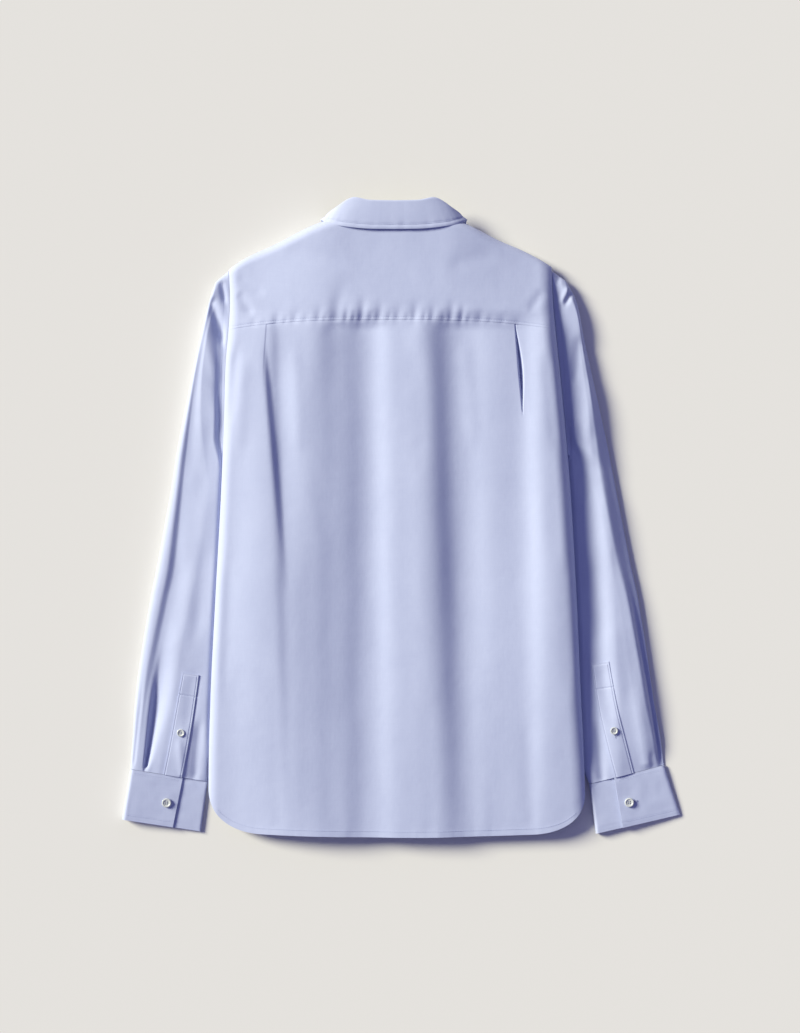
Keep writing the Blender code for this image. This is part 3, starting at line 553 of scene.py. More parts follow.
def pleat_gape(w, y):
    """The slit beside a pleat's folded edge."""
    dip = 0.0
    for pleat in PLEATS:
        off = (w - pleat["across"]) * body_width(y)
        below = (seam_y(w) - y) / pleat["gape_long"]
        if 0 < below < 1:
            lens = math.sin(math.pi * below) ** 1.3
            wide = 0.8 + pleat["gape_wide"] * lens
            inside = 1 - smooth(abs(off - 0.5 * wide) / (0.7 * wide))
            dip += pleat["gape_deep"] * (0.15 + 0.85 * lens) * inside
    return dip


def back_point(w, y):
    """A point of the back's outer face."""
    x = body_x(w, y)
    side = LEFT if w < 0.5 else RIGHT
    out = edge_distance(side, x, y)
    ease = smooth(out / SIDE_ROLL[side])
    below = seam_y(w) - y
    top = top_height(x, y) - pleat_dip(w, y) - pleat_gape(w, y)
    top += ease * (creases(x, y, BACK_CREASES) + drift(x, y, 1.0) + pucker(x, -below))
    top -= YOKE_SEAM_SINK * (1 - smooth(below / 2.0))
    above_hem = y - hem_y(w)
    top += HEM_THICK * (1 - smooth((above_hem - HEM_TURN) / 1.2))
    top += HEM_UNEVEN * ripple(x, 0, 7, 8.0) * (1 - smooth(above_hem / 16))
    return Vector((x, y, rolled(side_height(side, y), top, out / SIDE_ROLL[side])))


# ---------------------------------------------------------------- making meshes

def linked(name, data):
    """A new object of this name, in the scene."""
    thing = bpy.data.objects.new(name, data)
    bpy.context.collection.objects.link(thing)
    return thing


def finish_mesh(mesh, look, sharp):
    """Gives a mesh its one look, smooth but for edges sharper than so many degrees."""
    mesh.materials.clear()
    mesh.materials.append(look)
    mesh.shade_smooth()
    mesh.set_sharp_from_angle(angle=math.radians(sharp))


def add_object(name, points, faces, look):
    mesh = bpy.data.meshes.new(name)
    mesh.from_pydata([tuple(p * MM) for p in points], [], faces)
    finish_mesh(mesh, look, 62)
    return linked(name, mesh)


def steps_along(points):
    """The way from each point's neighbour before it to the one after it, down the first axis."""
    ways = np.empty_like(points)
    ways[1:-1] = points[2:] - points[:-2]
    ways[0], ways[-1] = points[1] - points[0], points[-1] - points[-2]
    return ways


def grid_normals(grid):
    """Unit normals of a grid of points, by its two directions at each point."""
    points = np.array([[tuple(p) for p in line] for line in grid])
    along = steps_along(points.swapaxes(0, 1)).swapaxes(0, 1)
    normals = np.cross(along, steps_along(points))
    return normals / np.maximum(np.linalg.norm(normals, axis=2, keepdims=True), 1e-9)


def moved(grid, distance, level_sides):
    """The grid moved along its normals, which lie level along a rolled side seam."""
    normals = grid_normals(grid)
    for j in level_sides:
        normals[:, j, 2] = 0.0
        normals[:, j] /= np.linalg.norm(normals[:, j], axis=1, keepdims=True)
    return [[p + Vector(n) * distance for p, n in zip(line, side)]
            for line, side in zip(grid, normals)]


def shell(name, grid, wall, level_sides=(), inner=None):
    """A thin cloth wall: the grid is its outer face, and the inner one is a wall further in.

    A piece that comes with its inner face is made of closed rings.
    """
    rows, columns = len(grid), len(grid[0])
    ring = inner is not None
    inner = inner or moved(grid, -wall, level_sides)
    points = [p for line in grid for p in line] + [p for line in inner for p in line]
    half = rows * columns
    faces = []
    spans = columns if ring else columns - 1
    for i in range(rows - 1):
        for j in range(spans):
            k = (j + 1) % columns
            a, b = i * columns + j, i * columns + k
            c, d = (i + 1) * columns + k, (i + 1) * columns + j
            faces.append((a, b, c, d))
            faces.append((half + d, half + c, half + b, half + a))
    top = (rows - 1) * columns
    for j in range(spans):
        k = (j + 1) % columns
        faces.append((k, j, half + j, half + k))
        faces.append((top + j, top + k, half + top + k, half + top + j))
    if not ring:
        for i in range(rows - 1):
            a, b = i * columns, (i + 1) * columns
            faces.append((a, b, half + b, half + a))
            a, b = a + columns - 1, b + columns - 1
            faces.append((b, a, half + a, half + b))
    return add_object(name, points, faces, cloth)


# ---------------------------------------------------------------- body grids

BACK_COLUMNS, BACK_ROWS = 210, 168
PLEAT_STEP = 0.75


def roll_ends(roll):
    """Shares from a piece's end to where its rolled edge stops, even round the roll."""
    return [roll * (1 - math.cos(0.5 * math.pi * i / ROLL_STEPS)) for i in range(ROLL_STEPS)]


def between_rolls(roll, middle):
    """The same shares at both ends, with the given ones between them."""
    ends = roll_ends(roll)
    return ends + middle + [1 - e for e in reversed(ends)]


def roll_shares(columns):
    """Shares across the body: close together on each rolled edge, even between."""
    roll = SIDE_ROLL[RIGHT] / body_width(0)
    inner = columns - 2 * ROLL_STEPS
    return between_rolls(roll, [roll + (1 - 2 * roll) * i / inner for i in range(inner + 1)])


def with_fine(shares, fine, apart):
    """Those shares that are not close to any of the fine ones, and the fine ones, in order."""
    return sorted([w for w in shares if all(abs(w - f) > apart for f in fine)] + fine)


def back_grid():
    """Rows up the back; its columns are close together beside each pleat."""
    width = body_width(0)
    fine = [pleat["across"] + PLEAT_STEP * k / width for pleat in PLEATS for k in range(-2, 10)]
    shares = with_fine(roll_shares(BACK_COLUMNS), fine, 0.0018)
    grid = []
    for i in range(BACK_ROWS + 1):
        up = 1 - (1 - i / BACK_ROWS) ** 1.12
        grid.append([back_point(w, mix(hem_y(w), seam_y(w) - SEAM_GAP / 2, up)) for w in shares])
    return grid


FRONT_COLUMNS, FRONT_ROWS = 96, 130
PLAIN = 30              # how far from its side and its middle a front has no small folds
FRONT_CREASES = (
    fold(-160, 180, -150, -120, 10.0, 0.9, bow=8),
    fold(-90, 120, -110, -240, 9.0, 0.8, bow=-6),
    fold(120, 190, 134, -80, 11.0, 0.9, bow=-7),
    fold(84, 40, 96, -300, 9.0, 0.8, bow=5),
    fold(168, -100, 150, -330, 10.0, 1.0),
    fold(-186, -80, -170, -330, 10.0, 1.0),
)


def front_edge(side):
    """Where a front ends, past the middle under or over the other one."""
    return CENTRE_X - (-1 if side == LEFT else 1) * FRONT_OVERLAP


def front_ends(side, s):
    """Hem and upper end of one column of a front, at a share s from its side seam."""
    x_hem, x_chest, x_shoulder = (mix(BODY.at(SIDES[side], y), front_edge(side), s)
                                  for y in (HEM_END_Y, 200, 262))
    w = (x_hem - BODY.at("left", HEM_END_Y)) / body_width(HEM_END_Y)
    hem = hem_y(w, FRONT_HEM_RISE * (1 - abs(2 * w - 1) ** 6))
    return hem, min(front_top(x_chest), front_top(x_shoulder))


def front_point(side, s, y):
    """A point of a front's outer face, with small folds that lift it off the surface."""
    x = mix(BODY.at(SIDES[side], y), front_edge(side), s)
    out = edge_distance(side, x, y)
    low = front_height(side, x, y)
    low += smooth((out - PLAIN) / 30) * max(0.0, creases(x, y, FRONT_CREASES))
    low += smooth((abs(x - CENTRE_X) - PLAIN) / 20) * max(0.0, 0.5 * ripple(x, 0.5 * y, 3, 38))
    return Vector((x, y, rolled(front_armhole_height(side, y), low, out / SIDE_ROLL[side])))


def even_grid(rows, columns, point):
    """A grid of points, each at its two shares along and across a piece."""
    return [[point(i / rows, j / columns) for j in range(columns + 1)] for i in range(rows + 1)]


def faced(side, rows):
    """The rows turned round on the left, so that the outer face looks out."""
    return [list(reversed(line)) for line in rows] if side == LEFT else rows


def front_grid(side):
    """Columns from the side seam to the middle."""
    roll = SIDE_ROLL[side] / (abs(BODY.at(SIDES[side], 0) - CENTRE_X) + FRONT_OVERLAP)
    shares = roll_ends(roll) + [mix(roll, 1.0, i / FRONT_COLUMNS) for i in range(FRONT_COLUMNS + 1)]
    ends = [front_ends(side, s) for s in shares]
    rows = []
    for i in range(FRONT_ROWS + 1):
        rows.append([front_point(side, s, mix(*end, i / FRONT_ROWS)) for s, end in zip(shares, ends)])
    return faced(side, rows)


YOKE_COLUMNS = 290
YOKE_TOP_STEPS, YOKE_NOSE_STEPS, YOKE_UNDER_STEPS = 54, 16, 14
YOKE_FIRST = (0.0, 0.6, 1.2, 1.8, 2.3, 2.7, 3.0, 3.3, 3.7, 4.3, 5.0)    # rows about its stitching


def yoke_face(w, y):
    """Heights of the yoke's outer face, on top and underneath."""
    side = LEFT if w < 0.5 else RIGHT
    x = body_x(w, y)
    roll = edge_distance(side, x, y) / SIDE_ROLL[side]
    edge_low = min(side_height(side, y) - SEAM_GAP, ARMHOLE_LOW)
    above = y - seam_y(w)
    rise = creases(x, y, BACK_CREASES) + drift(x, y, 1.0, depth=0.45) + pucker(x, above)
    top = top_height(x, y) + smooth(roll) * rise
    top += 0.1 - 0.22 * bell(above - YOKE_STITCH, 0.8)
    top = rolled(side_height(side, y), top, roll)
    return top, rolled(edge_low, front_under(x, y), roll)


def neck_angle(off, pivot, middle, half):
    """How far round the shoulder's nose the neck seam lies, from 90 degrees on top."""
    turns = [0.54 * k / 27 for k in range(28)]
    offs, ys, zs = ([COLLAR.at(name, t) for t in turns] for name in ("neck_x", "neck_y", "neck_z"))
    neck_y, neck_z = float(np.interp(off, offs, ys)), float(np.interp(off, offs, zs))
    by_place = math.acos(min(max((neck_y - 0.9 - pivot) / SHOULDER_NOSE, 0.0), 1.0))
    by_height = math.asin(min(max((neck_z - middle) / half, -1.0), 1.0))
    return mix(by_place, by_height, smooth((off - 52) / 14))


def yoke_column(w):
    """One column of the yoke, from the back seam over the shoulder, or up to the neck."""
    x_top = body_x(w, SHOULDER_Y)
    crest = SHOULDER.at("y", x_top)
    off = abs(x_top - NECK_X)
    pivot = crest - SHOULDER_NOSE
    start = seam_y(w) + SEAM_GAP / 2
    steps = YOKE_TOP_STEPS - len(YOKE_FIRST)
    top, under = yoke_face(w, pivot)
    middle, half = 0.5 * (top + under), 0.5 * (top - under)
    ys = [start + f for f in YOKE_FIRST] + [mix(start + 6, pivot, k / steps) for k in range(steps)]
    places = [(y, yoke_face(w, y)[0]) for y in ys]
    # round the shoulder's nose, and under it only beside the neck
    beside_neck = off >= NECK_HALF
    steps = YOKE_NOSE_STEPS + (0 if beside_neck else YOKE_UNDER_STEPS)
    stop = -math.pi if beside_neck else neck_angle(off, pivot, middle, half)
    for k in range(steps + 1):
        angle = max(math.pi * (0.5 - k / YOKE_NOSE_STEPS), stop + 0.002 * (steps - k))
        places.append((pivot + SHOULDER_NOSE * math.cos(angle), middle + half * math.sin(angle)))
    if beside_neck:
        for k in range(1, YOKE_UNDER_STEPS + 1):
            y = mix(pivot, crest - FRONT_YOKE_DROP + SEAM_GAP / 2, k / YOKE_UNDER_STEPS)
            places.append((y, yoke_face(w, y)[1]))
    return [Vector((body_x(w, y), y, z)) for y, z in places]


def yoke_grid():
    left, width = BODY.at("left", SHOULDER_Y), body_width(SHOULDER_Y)
    cuts = [(NECK_X + sign * off - left) / width
            for off in (NECK_HALF - 0.2, NECK_HALF + 0.4) for sign in (-1, 1)]
    columns = [yoke_column(w) for w in with_fine(roll_shares(YOKE_COLUMNS), cuts, 0.0022)]
    return [[c[i] for c in columns] for i in range(len(columns[0]))]


# ---------------------------------------------------------------- sleeves

# The long folds of each sleeve, side by side down from the shoulder: distance from the
# outer fold of a rise (+) or fall (-), how far it spreads, and by how much.
SLEEVE_FLANKS = (
    Table(
        "ring fall fall_wide fall_by rise rise_wide rise_by",
        (0, 8, 6, 0.0, 20, 8, 0.0),
        (3, 5, 5, 0.6, 13, 14, 1.4),
        (4.5, 5, 8, 2.4, 15, 26, 3.4),
        (6, 7, 8, 3.2, 17, 30, 4.6),
        (7, 12, 9, 3.4, 22, 28, 4.6),
        (8, 12, 9, 2.8, 23, 26, 4.2),
        (10, 6, 8, 1.2, 22, 24, 2.4),
        (12, 3, 5, 0.4, 24, 12, 0.8),
    ),
    Table(
        "ring fall fall_wide fall_by rise rise_wide rise_by",
        (0, -3, 2, 0.0, 4, 8, 0.0),
        (3, -3, 2, 2.4, 2, 12, 3.4),
        (4.5, -3, 2, 4.0, 2, 14, 5.4),
        (6, -3, 2, 5.0, 3, 14, 6.4),
        (8, -3, 2, 3.6, 3, 12, 5.0),
        (10, -3, 2, 2.0, 3, 9, 3.2),
        (12, -3, 2, 0.6, 3, 5, 1.2),
    ),
)
# How far the panel between a sleeve's outer roll and the body falls away to the right.
PANEL_FALL = (0.0, 0.07)

# Short folds, in plan: the shoulder's, the drag lines down the arm, the cuff's pleats.
SLEEVE_CREASES = (
    (
        fold(-229.5, 262, -208.5, 196, 4.6, -5.0, start=0.12),
        fold(-216.5, 284, -208, 250, 3.2, -2.6),
        fold(-236, 236, -219, 150, 5.0, 1.6, start=0.2),
        fold(-240, 210, -232, 96, 8.0, -0.5, bow=-3),
        fold(-226, 120, -236, 4, 8.0, -1.1, bow=3),
        fold(-250, 70, -262, -70, 8.0, 1.2),
        fold(-236, -20, -250, -160, 7.0, -1.4, bow=-4),
        fold(-262, -120, -276, -232, 9.0, 1.2, bow=3),
        fold(-246, -180, -258, -262, 6.0, -1.4),
        fold(-307.5, -304, -284, -150, 17.0, -7.0, start=0.04, stop=0.6, flare=0.15, edge=1,
             steep=6.0, shut=0.2),
        fold(-320.5, -300, -304, -160, 4.0, -1.4, start=0.04, stop=0.6, flare=0.4, edge=-1),
        fold(-248, -316, -240, -236, 4.0, -1.6, start=0.05),
        fold(-262, -312, -266, -262, 3.5, 0.9, start=0.05),
    ),
    (
        fold(205.5, 272, 193.5, 250, 2.4, -2.4, start=0.15),
        fold(201.0, 274, 189.5, 252, 2.2, 1.6, start=0.15),
        fold(190.5, 291, 182.5, 276, 2.6, -1.6),
        fold(216, 222, 206, 150, 5.0, -1.8, bow=2),
        fold(226, 176, 219, 80, 6.0, 1.4, bow=-3),
        fold(214, 120, 226, 0, 6.0, -1.6, bow=3),
        fold(240, 40, 250, -70, 7.0, 1.0),
        fold(224, -40, 236, -160, 8.0, -1.5, bow=-3),
        fold(254, -120, 264, -230, 8.0, 1.2, bow=4),
        fold(238, -170, 252, -258, 6.5, -1.4),
        fold(311, -300, 264, -50, 7.0, -5.2, bow=2, start=0.07, stop=0.5, flare=0.35, edge=1, steep=1.8),
        fold(300.5, -300, 299, -281, 2.4, -0.7, start=0.05),
        fold(296, -302, 276, -170, 6.5, 2.0, start=0.04, stop=0.6),
        fold(240, -318, 232, -240, 4.0, -1.6, start=0.05),
    ),
)

SLEEVE_RING_STEP = 0.08
# Where each sleeve's free part rises beside the body, and over what distance; below this
# height (y), it turns from the part that is sewn in above the underarm to the free part.
DIPS = ((-6.5, 10.0), (16.0, 30.0))
FREE_Y, FREE_RAMP = 95.0, 40.0
CUFF_TILT = (0.07, 0.075)       # each cuff falls a little to the right
CUFF_MIDDLE = (-281.0, 272.5)   # about its button
SLEEVE_TOP_STEPS, SLEEVE_LOW_STEPS = 74, 34


def armhole_x(side, y):
    return BODY.at(SIDES[side], y) + (-ARMHOLE_GAP if side == LEFT else ARMHOLE_GAP)


def sleeve_ends(side, ring):
    """Plan positions of a ring's outer and tucked folds, from the armhole (ring 0) on."""
    table, ends = SLEEVES[side], []
    for fold_name, arm_y in (("outer", SHOULDER_Y), ("inner", UNDERARM_Y)):
        x, y = table.at(fold_name + "_x", ring), table.at(fold_name + "_y", ring)
        if ring < 1:
            # Table.at gives the first ring's values here
            x, y = mix(armhole_x(side, arm_y), x, ring), mix(arm_y, y, ring)
        ends.append((x, y))
    return ends


def sleeve_place(side, ring, t):
    """Plan position on a sleeve; towards ring 0 it follows the armhole's curve."""
    outer, inner = sleeve_ends(side, ring)
    x, y = mix(outer[0], inner[0], t), mix(outer[1], inner[1], t)
    if ring < 1:
        first = sleeve_ends(side, 0)
        chord_x = mix(first[0][0], first[1][0], t)
        x += (1 - ring) * (armhole_x(side, mix(SHOULDER_Y, UNDERARM_Y, t)) - chord_x)
    return x, y


ARM_SWELL = 1.4         # how a sleeve stands open at the two ends of its armhole
ARM_SINK = 2.2          # how far its top starts beneath the body's edge
ARM_LOW = 2.6           # height of its underside near the armhole's upper end
FOLDS_RING = 0.2        # where its folds start
SLEEVE_LEAST = 2.0      # the least height of the folded sleeve


def arm_heights(side, t):
    """Top and underside of the sleeve's mouth, where it is sewn to the body."""
    y = mix(SHOULDER_Y, UNDERARM_Y, t)
    swell = ARM_SWELL * (1 - smooth(min(t, 1 - t) / 0.12))
    sunk = ARM_SINK * smooth(t / 0.15)
    top = side_height(side, y) + ARMHOLE_GAP - sunk + (swell if t < 0.5 else 0.0)
    return top, max(front_armhole_height(side, y) - ARMHOLE_GAP - swell, 0.0)


def sleeve_length(side, ring):
    """Distance across a ring, from its outer to its tucked fold."""
    outer, inner = sleeve_ends(side, ring)
    return math.hypot(outer[0] - inner[0], outer[1] - inner[1])


def sleeve_folds(side, ring, x, y, off, clear):
    """What the folds add to a sleeve's top, off millimetres from its outer fold."""
    flank = SLEEVE_FLANKS[side]
    fall, rise = (flank.at(name + "_by", ring)
                  * smooth((off - flank.at(name, ring)) / flank.at(name + "_wide", ring))
                  for name in ("fall", "rise"))
    free = smooth((clear + 2) / 8) * smooth((ring - FOLDS_RING) / 0.8)
    return [
        free * (rise - fall),
        -free * PANEL_FALL[side] * max(24.0 - off, 0.0) * smooth(max(ring, 1.0) - 2),
        smooth((clear - 1) / 8) * creases(x, y, SLEEVE_CREASES[side]),
        free * drift(x, y, 4.0 + side, size=42.0, depth=0.6),
        # the end follows the cuff that it is sewn to, a little beneath its edge
        smooth(ring - 11) * (CUFF_TILT[side] * (CUFF_MIDDLE[side] - x) - 0.5),
    ]


def sleeve_heights(side, ring, t):
    """Heights of a sleeve's outer face, top and underside, at a place across it."""
    x, y = sleeve_place(side, ring, t)
    length = sleeve_length(side, ring)
    table = SLEEVES[side]
    clear = -edge_distance(side, x, y)
    at = max(ring, 1.0)
    puff = table.at("puff", at)
    shut = mix(table.at("inner_top", at), VALLEY, smooth((y - FREE_Y) / FREE_RAMP))
    free_edge = smooth((FREE_Y - y) / FREE_RAMP)
    start, wide = (mix(sewn, dip, free_edge) for sewn, dip in zip((0.5, 12.0), DIPS[side]))
    top = mix(min(shut, puff), puff, smooth((clear - start) / wide))
    flat = mix(ARM_LOW, 0.0, smooth((at - 1) / 2))
    low = mix(table.at("inner_low", at), flat, smooth((1 - t) * length / 45.0))
    if ring < 1:
        arm_top, arm_low = arm_heights(side, t)
        top, low = mix(arm_top, top, ring), mix(arm_low, low, ring)
    near = min(t, 1 - t) * length / SLEEVE_END_ROLL
    round_off = math.sqrt(1 - (1 - min(near, 1.0)) ** 2)
    if ring > FOLDS_RING:
        off = t * length
        for part in sleeve_folds(side, ring, x, y, off, clear):
            top += part
        lift = max(0.0, 0.7 * ripple(x, 0.5 * y, 8, 30))
        low += smooth((off - 12) / 20) * smooth((RINGS - ring) / 1.5) * lift
        top = max(top, low + SLEEVE_LEAST)
    middle = mix(low, top, 0.5)
    return mix(middle, top, round_off), mix(middle, low, round_off)


def sleeve_line(side, ring, steps):
    """Stations from the outer fold (0) to the tucked fold (1), close together at the folds."""
    roll = min(SLEEVE_END_ROLL / sleeve_length(side, ring), 0.2)
    return between_rolls(roll, [mix(roll, 1 - roll, i / steps) for i in range(steps + 1)])


def sleeve_point(side, ring, t, face=0):
    """A point of a sleeve's outer face, on top (face 0) or beneath (face 1)."""
    return Vector((*sleeve_place(side, ring, t), sleeve_heights(side, ring, t)[face]))


def sleeve_ring(side, ring):
    tops, lows = ([sleeve_point(side, ring, t, face) for t in sleeve_line(side, ring, steps)]
                  for face, steps in enumerate((SLEEVE_TOP_STEPS, SLEEVE_LOW_STEPS)))
    # the two ends are shared by top and underside
    if side == LEFT:
        return list(reversed(tops)) + lows[1:-1]
    return tops + list(reversed(lows[1:-1]))


def sleeve_grid(side):
    """Rings from the armhole to the cuff."""
    count = round(RINGS / SLEEVE_RING_STEP)
    return [sleeve_ring(side, RINGS * k / count) for k in range(count + 1)]


def ring_normals(grid):
    """Unit normals of a grid of closed rings, averaged over the faces that meet at a point."""
    points = np.array([[tuple(p) for p in ring] for ring in grid])
    after = np.roll(points, -1, axis=1)
    faces = np.cross(after[1:] - points[:-1], points[1:] - after[:-1])
    faces = faces + np.roll(faces, 1, axis=1)
    total = np.zeros_like(points)
    total[:-1] += faces
    total[1:] += faces
    return total / np.linalg.norm(total, axis=2, keepdims=True)


def sleeve_lining(grid):
    """The inner face of a sleeve: a wall further in, and above what it lies on."""
    lining = [[p - Vector(n) * CLOTH_WALL for p, n in zip(ring, line)]
              for ring, line in zip(grid, ring_normals(grid))]
    for point in (p for ring in lining for p in ring):
        point.z = max(point.z, 0.3)
    return lining


# ---------------------------------------------------------------- sleeve plackets and cuffs

GAUNTLET_COLUMNS, GAUNTLET_ROWS = 60, 220
GAUNTLET_WIDE, GAUNTLET_LONG = 20.0, 140.0
GAUNTLET_SEWN = 19.0    # width that its stitching is set out on
GAUNTLET_BOX = 0.18     # where its stitched box ends, as a share of the way down
STITCH_IN = 1.6         # stitching's distance from an edge


def gauntlet_point(side, down, across):
    """A point of the sleeve under its placket: down from its top (0) to the cuff (1)."""
    ring, top, foot = GAUNTLETS[side]
    start, stop = (mix(*ends, down) for ends in zip(top, foot))
    return sleeve_point(side, mix(ring, RINGS, down), mix(start, stop, across))


def gauntlet_stand(across):
    """How high the placket stands on the sleeve: sewn down flat along its stitched edge."""
    return mix(0.95, GAUNTLET_GAP + GAUNTLET_WALL, smooth(across / 0.8))


def gauntlet_grid(side):
    """The placket strip on the sleeve, with a blunt point at its top end."""
    def point(down, across):
        edge = min(min(across, 1 - across) * GAUNTLET_WIDE, 130.0 * down + 0.4)
        ridge = 0.35 * (1 - bell(edge, 0.9)) - 0.5 * bell(edge - STITCH_IN, 0.5)
        box = 0.45 * bell((down - GAUNTLET_BOX) * GAUNTLET_LONG, 0.8)
        stand = gauntlet_stand(across) - 0.2 + ridge - box
        return gauntlet_point(side, down, across) + Vector((0, 0, stand))

    return faced(side, even_grid(GAUNTLET_ROWS, GAUNTLET_COLUMNS, point))


CUFF_ROLL_SHARE, CUFF_BACK_SHARE = 0.05, 0.035      # a cuff's rolled ends, as shares across
CUFF_LONG = 61.0        # from its seam to its foot
CUFF_CROWN, CUFF_DIMPLE = 0.5, 0.28     # how its edges and its stitching sink
CUFF_ROWS = 40
CUFF_STITCHES = (0.06, 0.09, 0.90)   # stitched lines, as shares down from the sleeve
CUFF_STITCH_IN = 0.055               # from the overlap's edge, as a share across


def cuff_arc(middle, wide, high, angles):
    """Round one rolled end of a cuff, as shares across it and heights."""
    rise = 0.5 * high
    return [(middle + wide * math.cos(a), rise + rise * math.sin(a)) for a in angles]


def cuff_path(side, down):
    """Round a cuff, as shares across it and heights: overlap, outer fold, beneath, underlap."""
    under_z = CUFF_TOP_Z - STIFF_WALL - LAY_GAP - 0.3
    near, far = CUFF_ROLL_SHARE, 1 - CUFF_BACK_SHARE
    end = mix(*CUFF_ENDS[side], down)
    path = [(mix(end, near, k / 44), CUFF_TOP_Z) for k in range(44)]
    path += cuff_arc(near, -near, CUFF_TOP_Z, [math.pi * (0.5 - k / 16) for k in range(17)])
    path += [(mix(near, far, k / 40), 0.0) for k in range(1, 40)]
    path += cuff_arc(far, 1 - far, under_z, [math.pi * (-0.5 + k / 14) for k in range(15)])
    path += [(mix(far, UNDERLAP_END, k / 30), under_z) for k in range(1, 31)]
    return path


def cuff_tilt(side, place):
    return CUFF_TILT[side] * (CUFF_MIDDLE[side] - place.x)


def cuff_ripple(place):
    return 0.35 * ripple(place.x, place.y, 6, 14.0)


def cuff_point(side, t, z, down):
    """A point of the cuff's outer face: crowned on top, and dimpled at its stitching."""
    place = cuff_corner(side, t, down)
    on_top = smooth((z - 0.5 * CUFF_TOP_Z) / (0.4 * CUFF_TOP_Z))
    crown = CUFF_CROWN * smooth(down / 0.1) * smooth((1 - down) / 0.12) - CUFF_CROWN
    soft = cuff_ripple(place) + crown
    for stitch in CUFF_STITCHES:
        soft -= CUFF_DIMPLE * bell((down - stitch) * CUFF_LONG, 0.6)
    tilted = z * (1 + cuff_tilt(side, place) / CUFF_TOP_Z)
    return Vector((place.x, place.y, tilted + on_top * soft))


def cuff_grid(side):
    """One strip, from its overlap round to its underlap."""
    rows = []
    for i in range(CUFF_ROWS + 1):
        down = i / CUFF_ROWS
        path = cuff_path(side, down)
        if side == RIGHT:
            path.reverse()
        rows.append([cuff_point(side, t, z, down) for t, z in path])
    return rows


# ---------------------------------------------------------------- the collar and placket

COLLAR_TURNS = [-1 + 2 * k / 220 for k in range(221)]
COLLAR_STITCH = 5.6     # the topstitching's distance from the fall's edge
FALL_ROWS, FALL_OVER = 26, 5


def stand_grid():
    rows = [[] for _ in range(12)]
    for turn in COLLAR_TURNS:
        neck, crest, _, _ = collar_rows(turn)
        for k, row in enumerate(rows):
            row.append(neck.lerp(crest, 0.97 * k / 11))
    return rows


def fall_line(turn):
    """At one turn: the fall's edge, where its fold starts and ends, and the ways up and out."""
    neck, crest, edge, away = collar_rows(turn)
    up = (crest - neck).normalized()
    return edge, crest + up * 1.6 + away * 3.0, crest + up * 2.8 + away * 1.7, up, away


def fall_grid():
    """Rows from the fall's edge up to the fold and just over it, with a topstitched rim."""
    rows = [[] for _ in range(FALL_ROWS + FALL_OVER)]
    for turn in COLLAR_TURNS:
        edge, start, over, up, away = fall_line(turn)
        drop = (start - edge).length
        for k in range(FALL_ROWS):
            share = k / (FALL_ROWS - 1)
            off = share * drop
            bulge = 0.4 * math.sin(math.pi * share)
            bulge += 0.45 * bell(off - 1.8, 1.6)
            bulge -= 0.55 * bell(off - COLLAR_STITCH, 0.9)
            gather = ripple(220 * turn, 2 * share, 2, 7.5) + 0.6 * ripple(220 * turn, 3 * share, 6, 3.5)
            bulge += gather * (0.30 * bell(off - 6.0, 4.0) + 0.05)
            rows[k].append(edge.lerp(start, share) + away * bulge)
        for k in range(FALL_OVER):
            share = (k + 1) / FALL_OVER
            rows[FALL_ROWS + k].append(start.lerp(over, share) + up * 0.5 * math.sin(math.pi * share))
    return rows


PLACKET_STITCH = 5.0
PLACKET_TOP_Y = 274.0


def placket_grid():
    """The buttoned band down the front, which faces the surface that the shirt lies on."""
    middle, half = CENTRE_X + PLACKET_SHIFT, PLACKET_WIDTH / 2
    low = hem_y(0.5) + FRONT_HEM_RISE

    def point(up, across):
        dimple = 0.3 * bell(min(across, 1 - across) * PLACKET_WIDTH - PLACKET_STITCH, 0.7)
        x = mix(middle + half, middle - half, across)
        return Vector((x, mix(low, PLACKET_TOP_Y, up), BUTTON_THICK + LAY_GAP + dimple))

    return even_grid(100, 20, point)


# ---------------------------------------------------------------- stitches and buttons

STITCH_LENGTH, STITCH_PAUSE, STITCH_WIDE, STITCH_LIFT = 2.3, 0.7, 0.42, 0.05


def capsule(start, stop, up, points, faces, wide=STITCH_WIDE):
    """One stitch: a low rounded bar from start to stop, lying on the cloth."""
    along = (stop - start).normalized()
    side = along.cross(up).normalized()
    rise = side.cross(along).normalized()
    first, around = len(points), range(6)
    for share, size in ((0.0, 0.35), (0.18, 1.0), (0.82, 1.0), (1.0, 0.35)):
        middle = start.lerp(stop, share)
        for angle in (math.pi * k / 3 for k in around):
            points.append(middle + 0.5 * wide * size * (side * math.cos(angle) + rise * math.sin(angle)))
    for i in range(3):
        for k in around:
            a, b = first + 6 * i + k, first + 6 * i + (k + 1) % 6
            faces.append((a, a + 6, b + 6, b))
    faces.append(tuple(first + k for k in around))
    faces.append(tuple(first + 18 + k for k in reversed(around)))


def stitch_along(path, up, points, faces):
    """Stitches along a path of points, with even pauses between them."""
    lengths = [0.0]
    for a, b in zip(path, path[1:]):
        lengths.append(lengths[-1] + (b - a).length)
    if lengths[-1] < STITCH_LENGTH:
        return

    def at(distance):
        i = min(bisect_right(lengths, distance) - 1, len(path) - 2)
        span = max(lengths[i + 1] - lengths[i], 1e-6)
        return path[i].lerp(path[i + 1], (distance - lengths[i]) / span)

    step = STITCH_LENGTH + STITCH_PAUSE
    count = int(lengths[-1] / step)
    step = lengths[-1] / max(count, 1)
    for k in range(count):
        start = at(k * step + 0.5 * STITCH_PAUSE)
        stop = at((k + 1) * step - 0.5 * STITCH_PAUSE)
        capsule(start + up * STITCH_LIFT, stop + up * STITCH_LIFT, up, points, faces)


def stitches(name, paths):
    """All the stitching of one piece, as one mesh; each path comes with its way up."""
    points, faces = [], []
    for path, up in paths:
        stitch_along(path, up, points, faces)
    return add_object(name, points, faces, thread)


def back_stitches():
    hem = [back_point(w / 240, hem_y(w / 240) + HEM_TURN) for w in range(6, 235)]
    return [(hem, UP)]


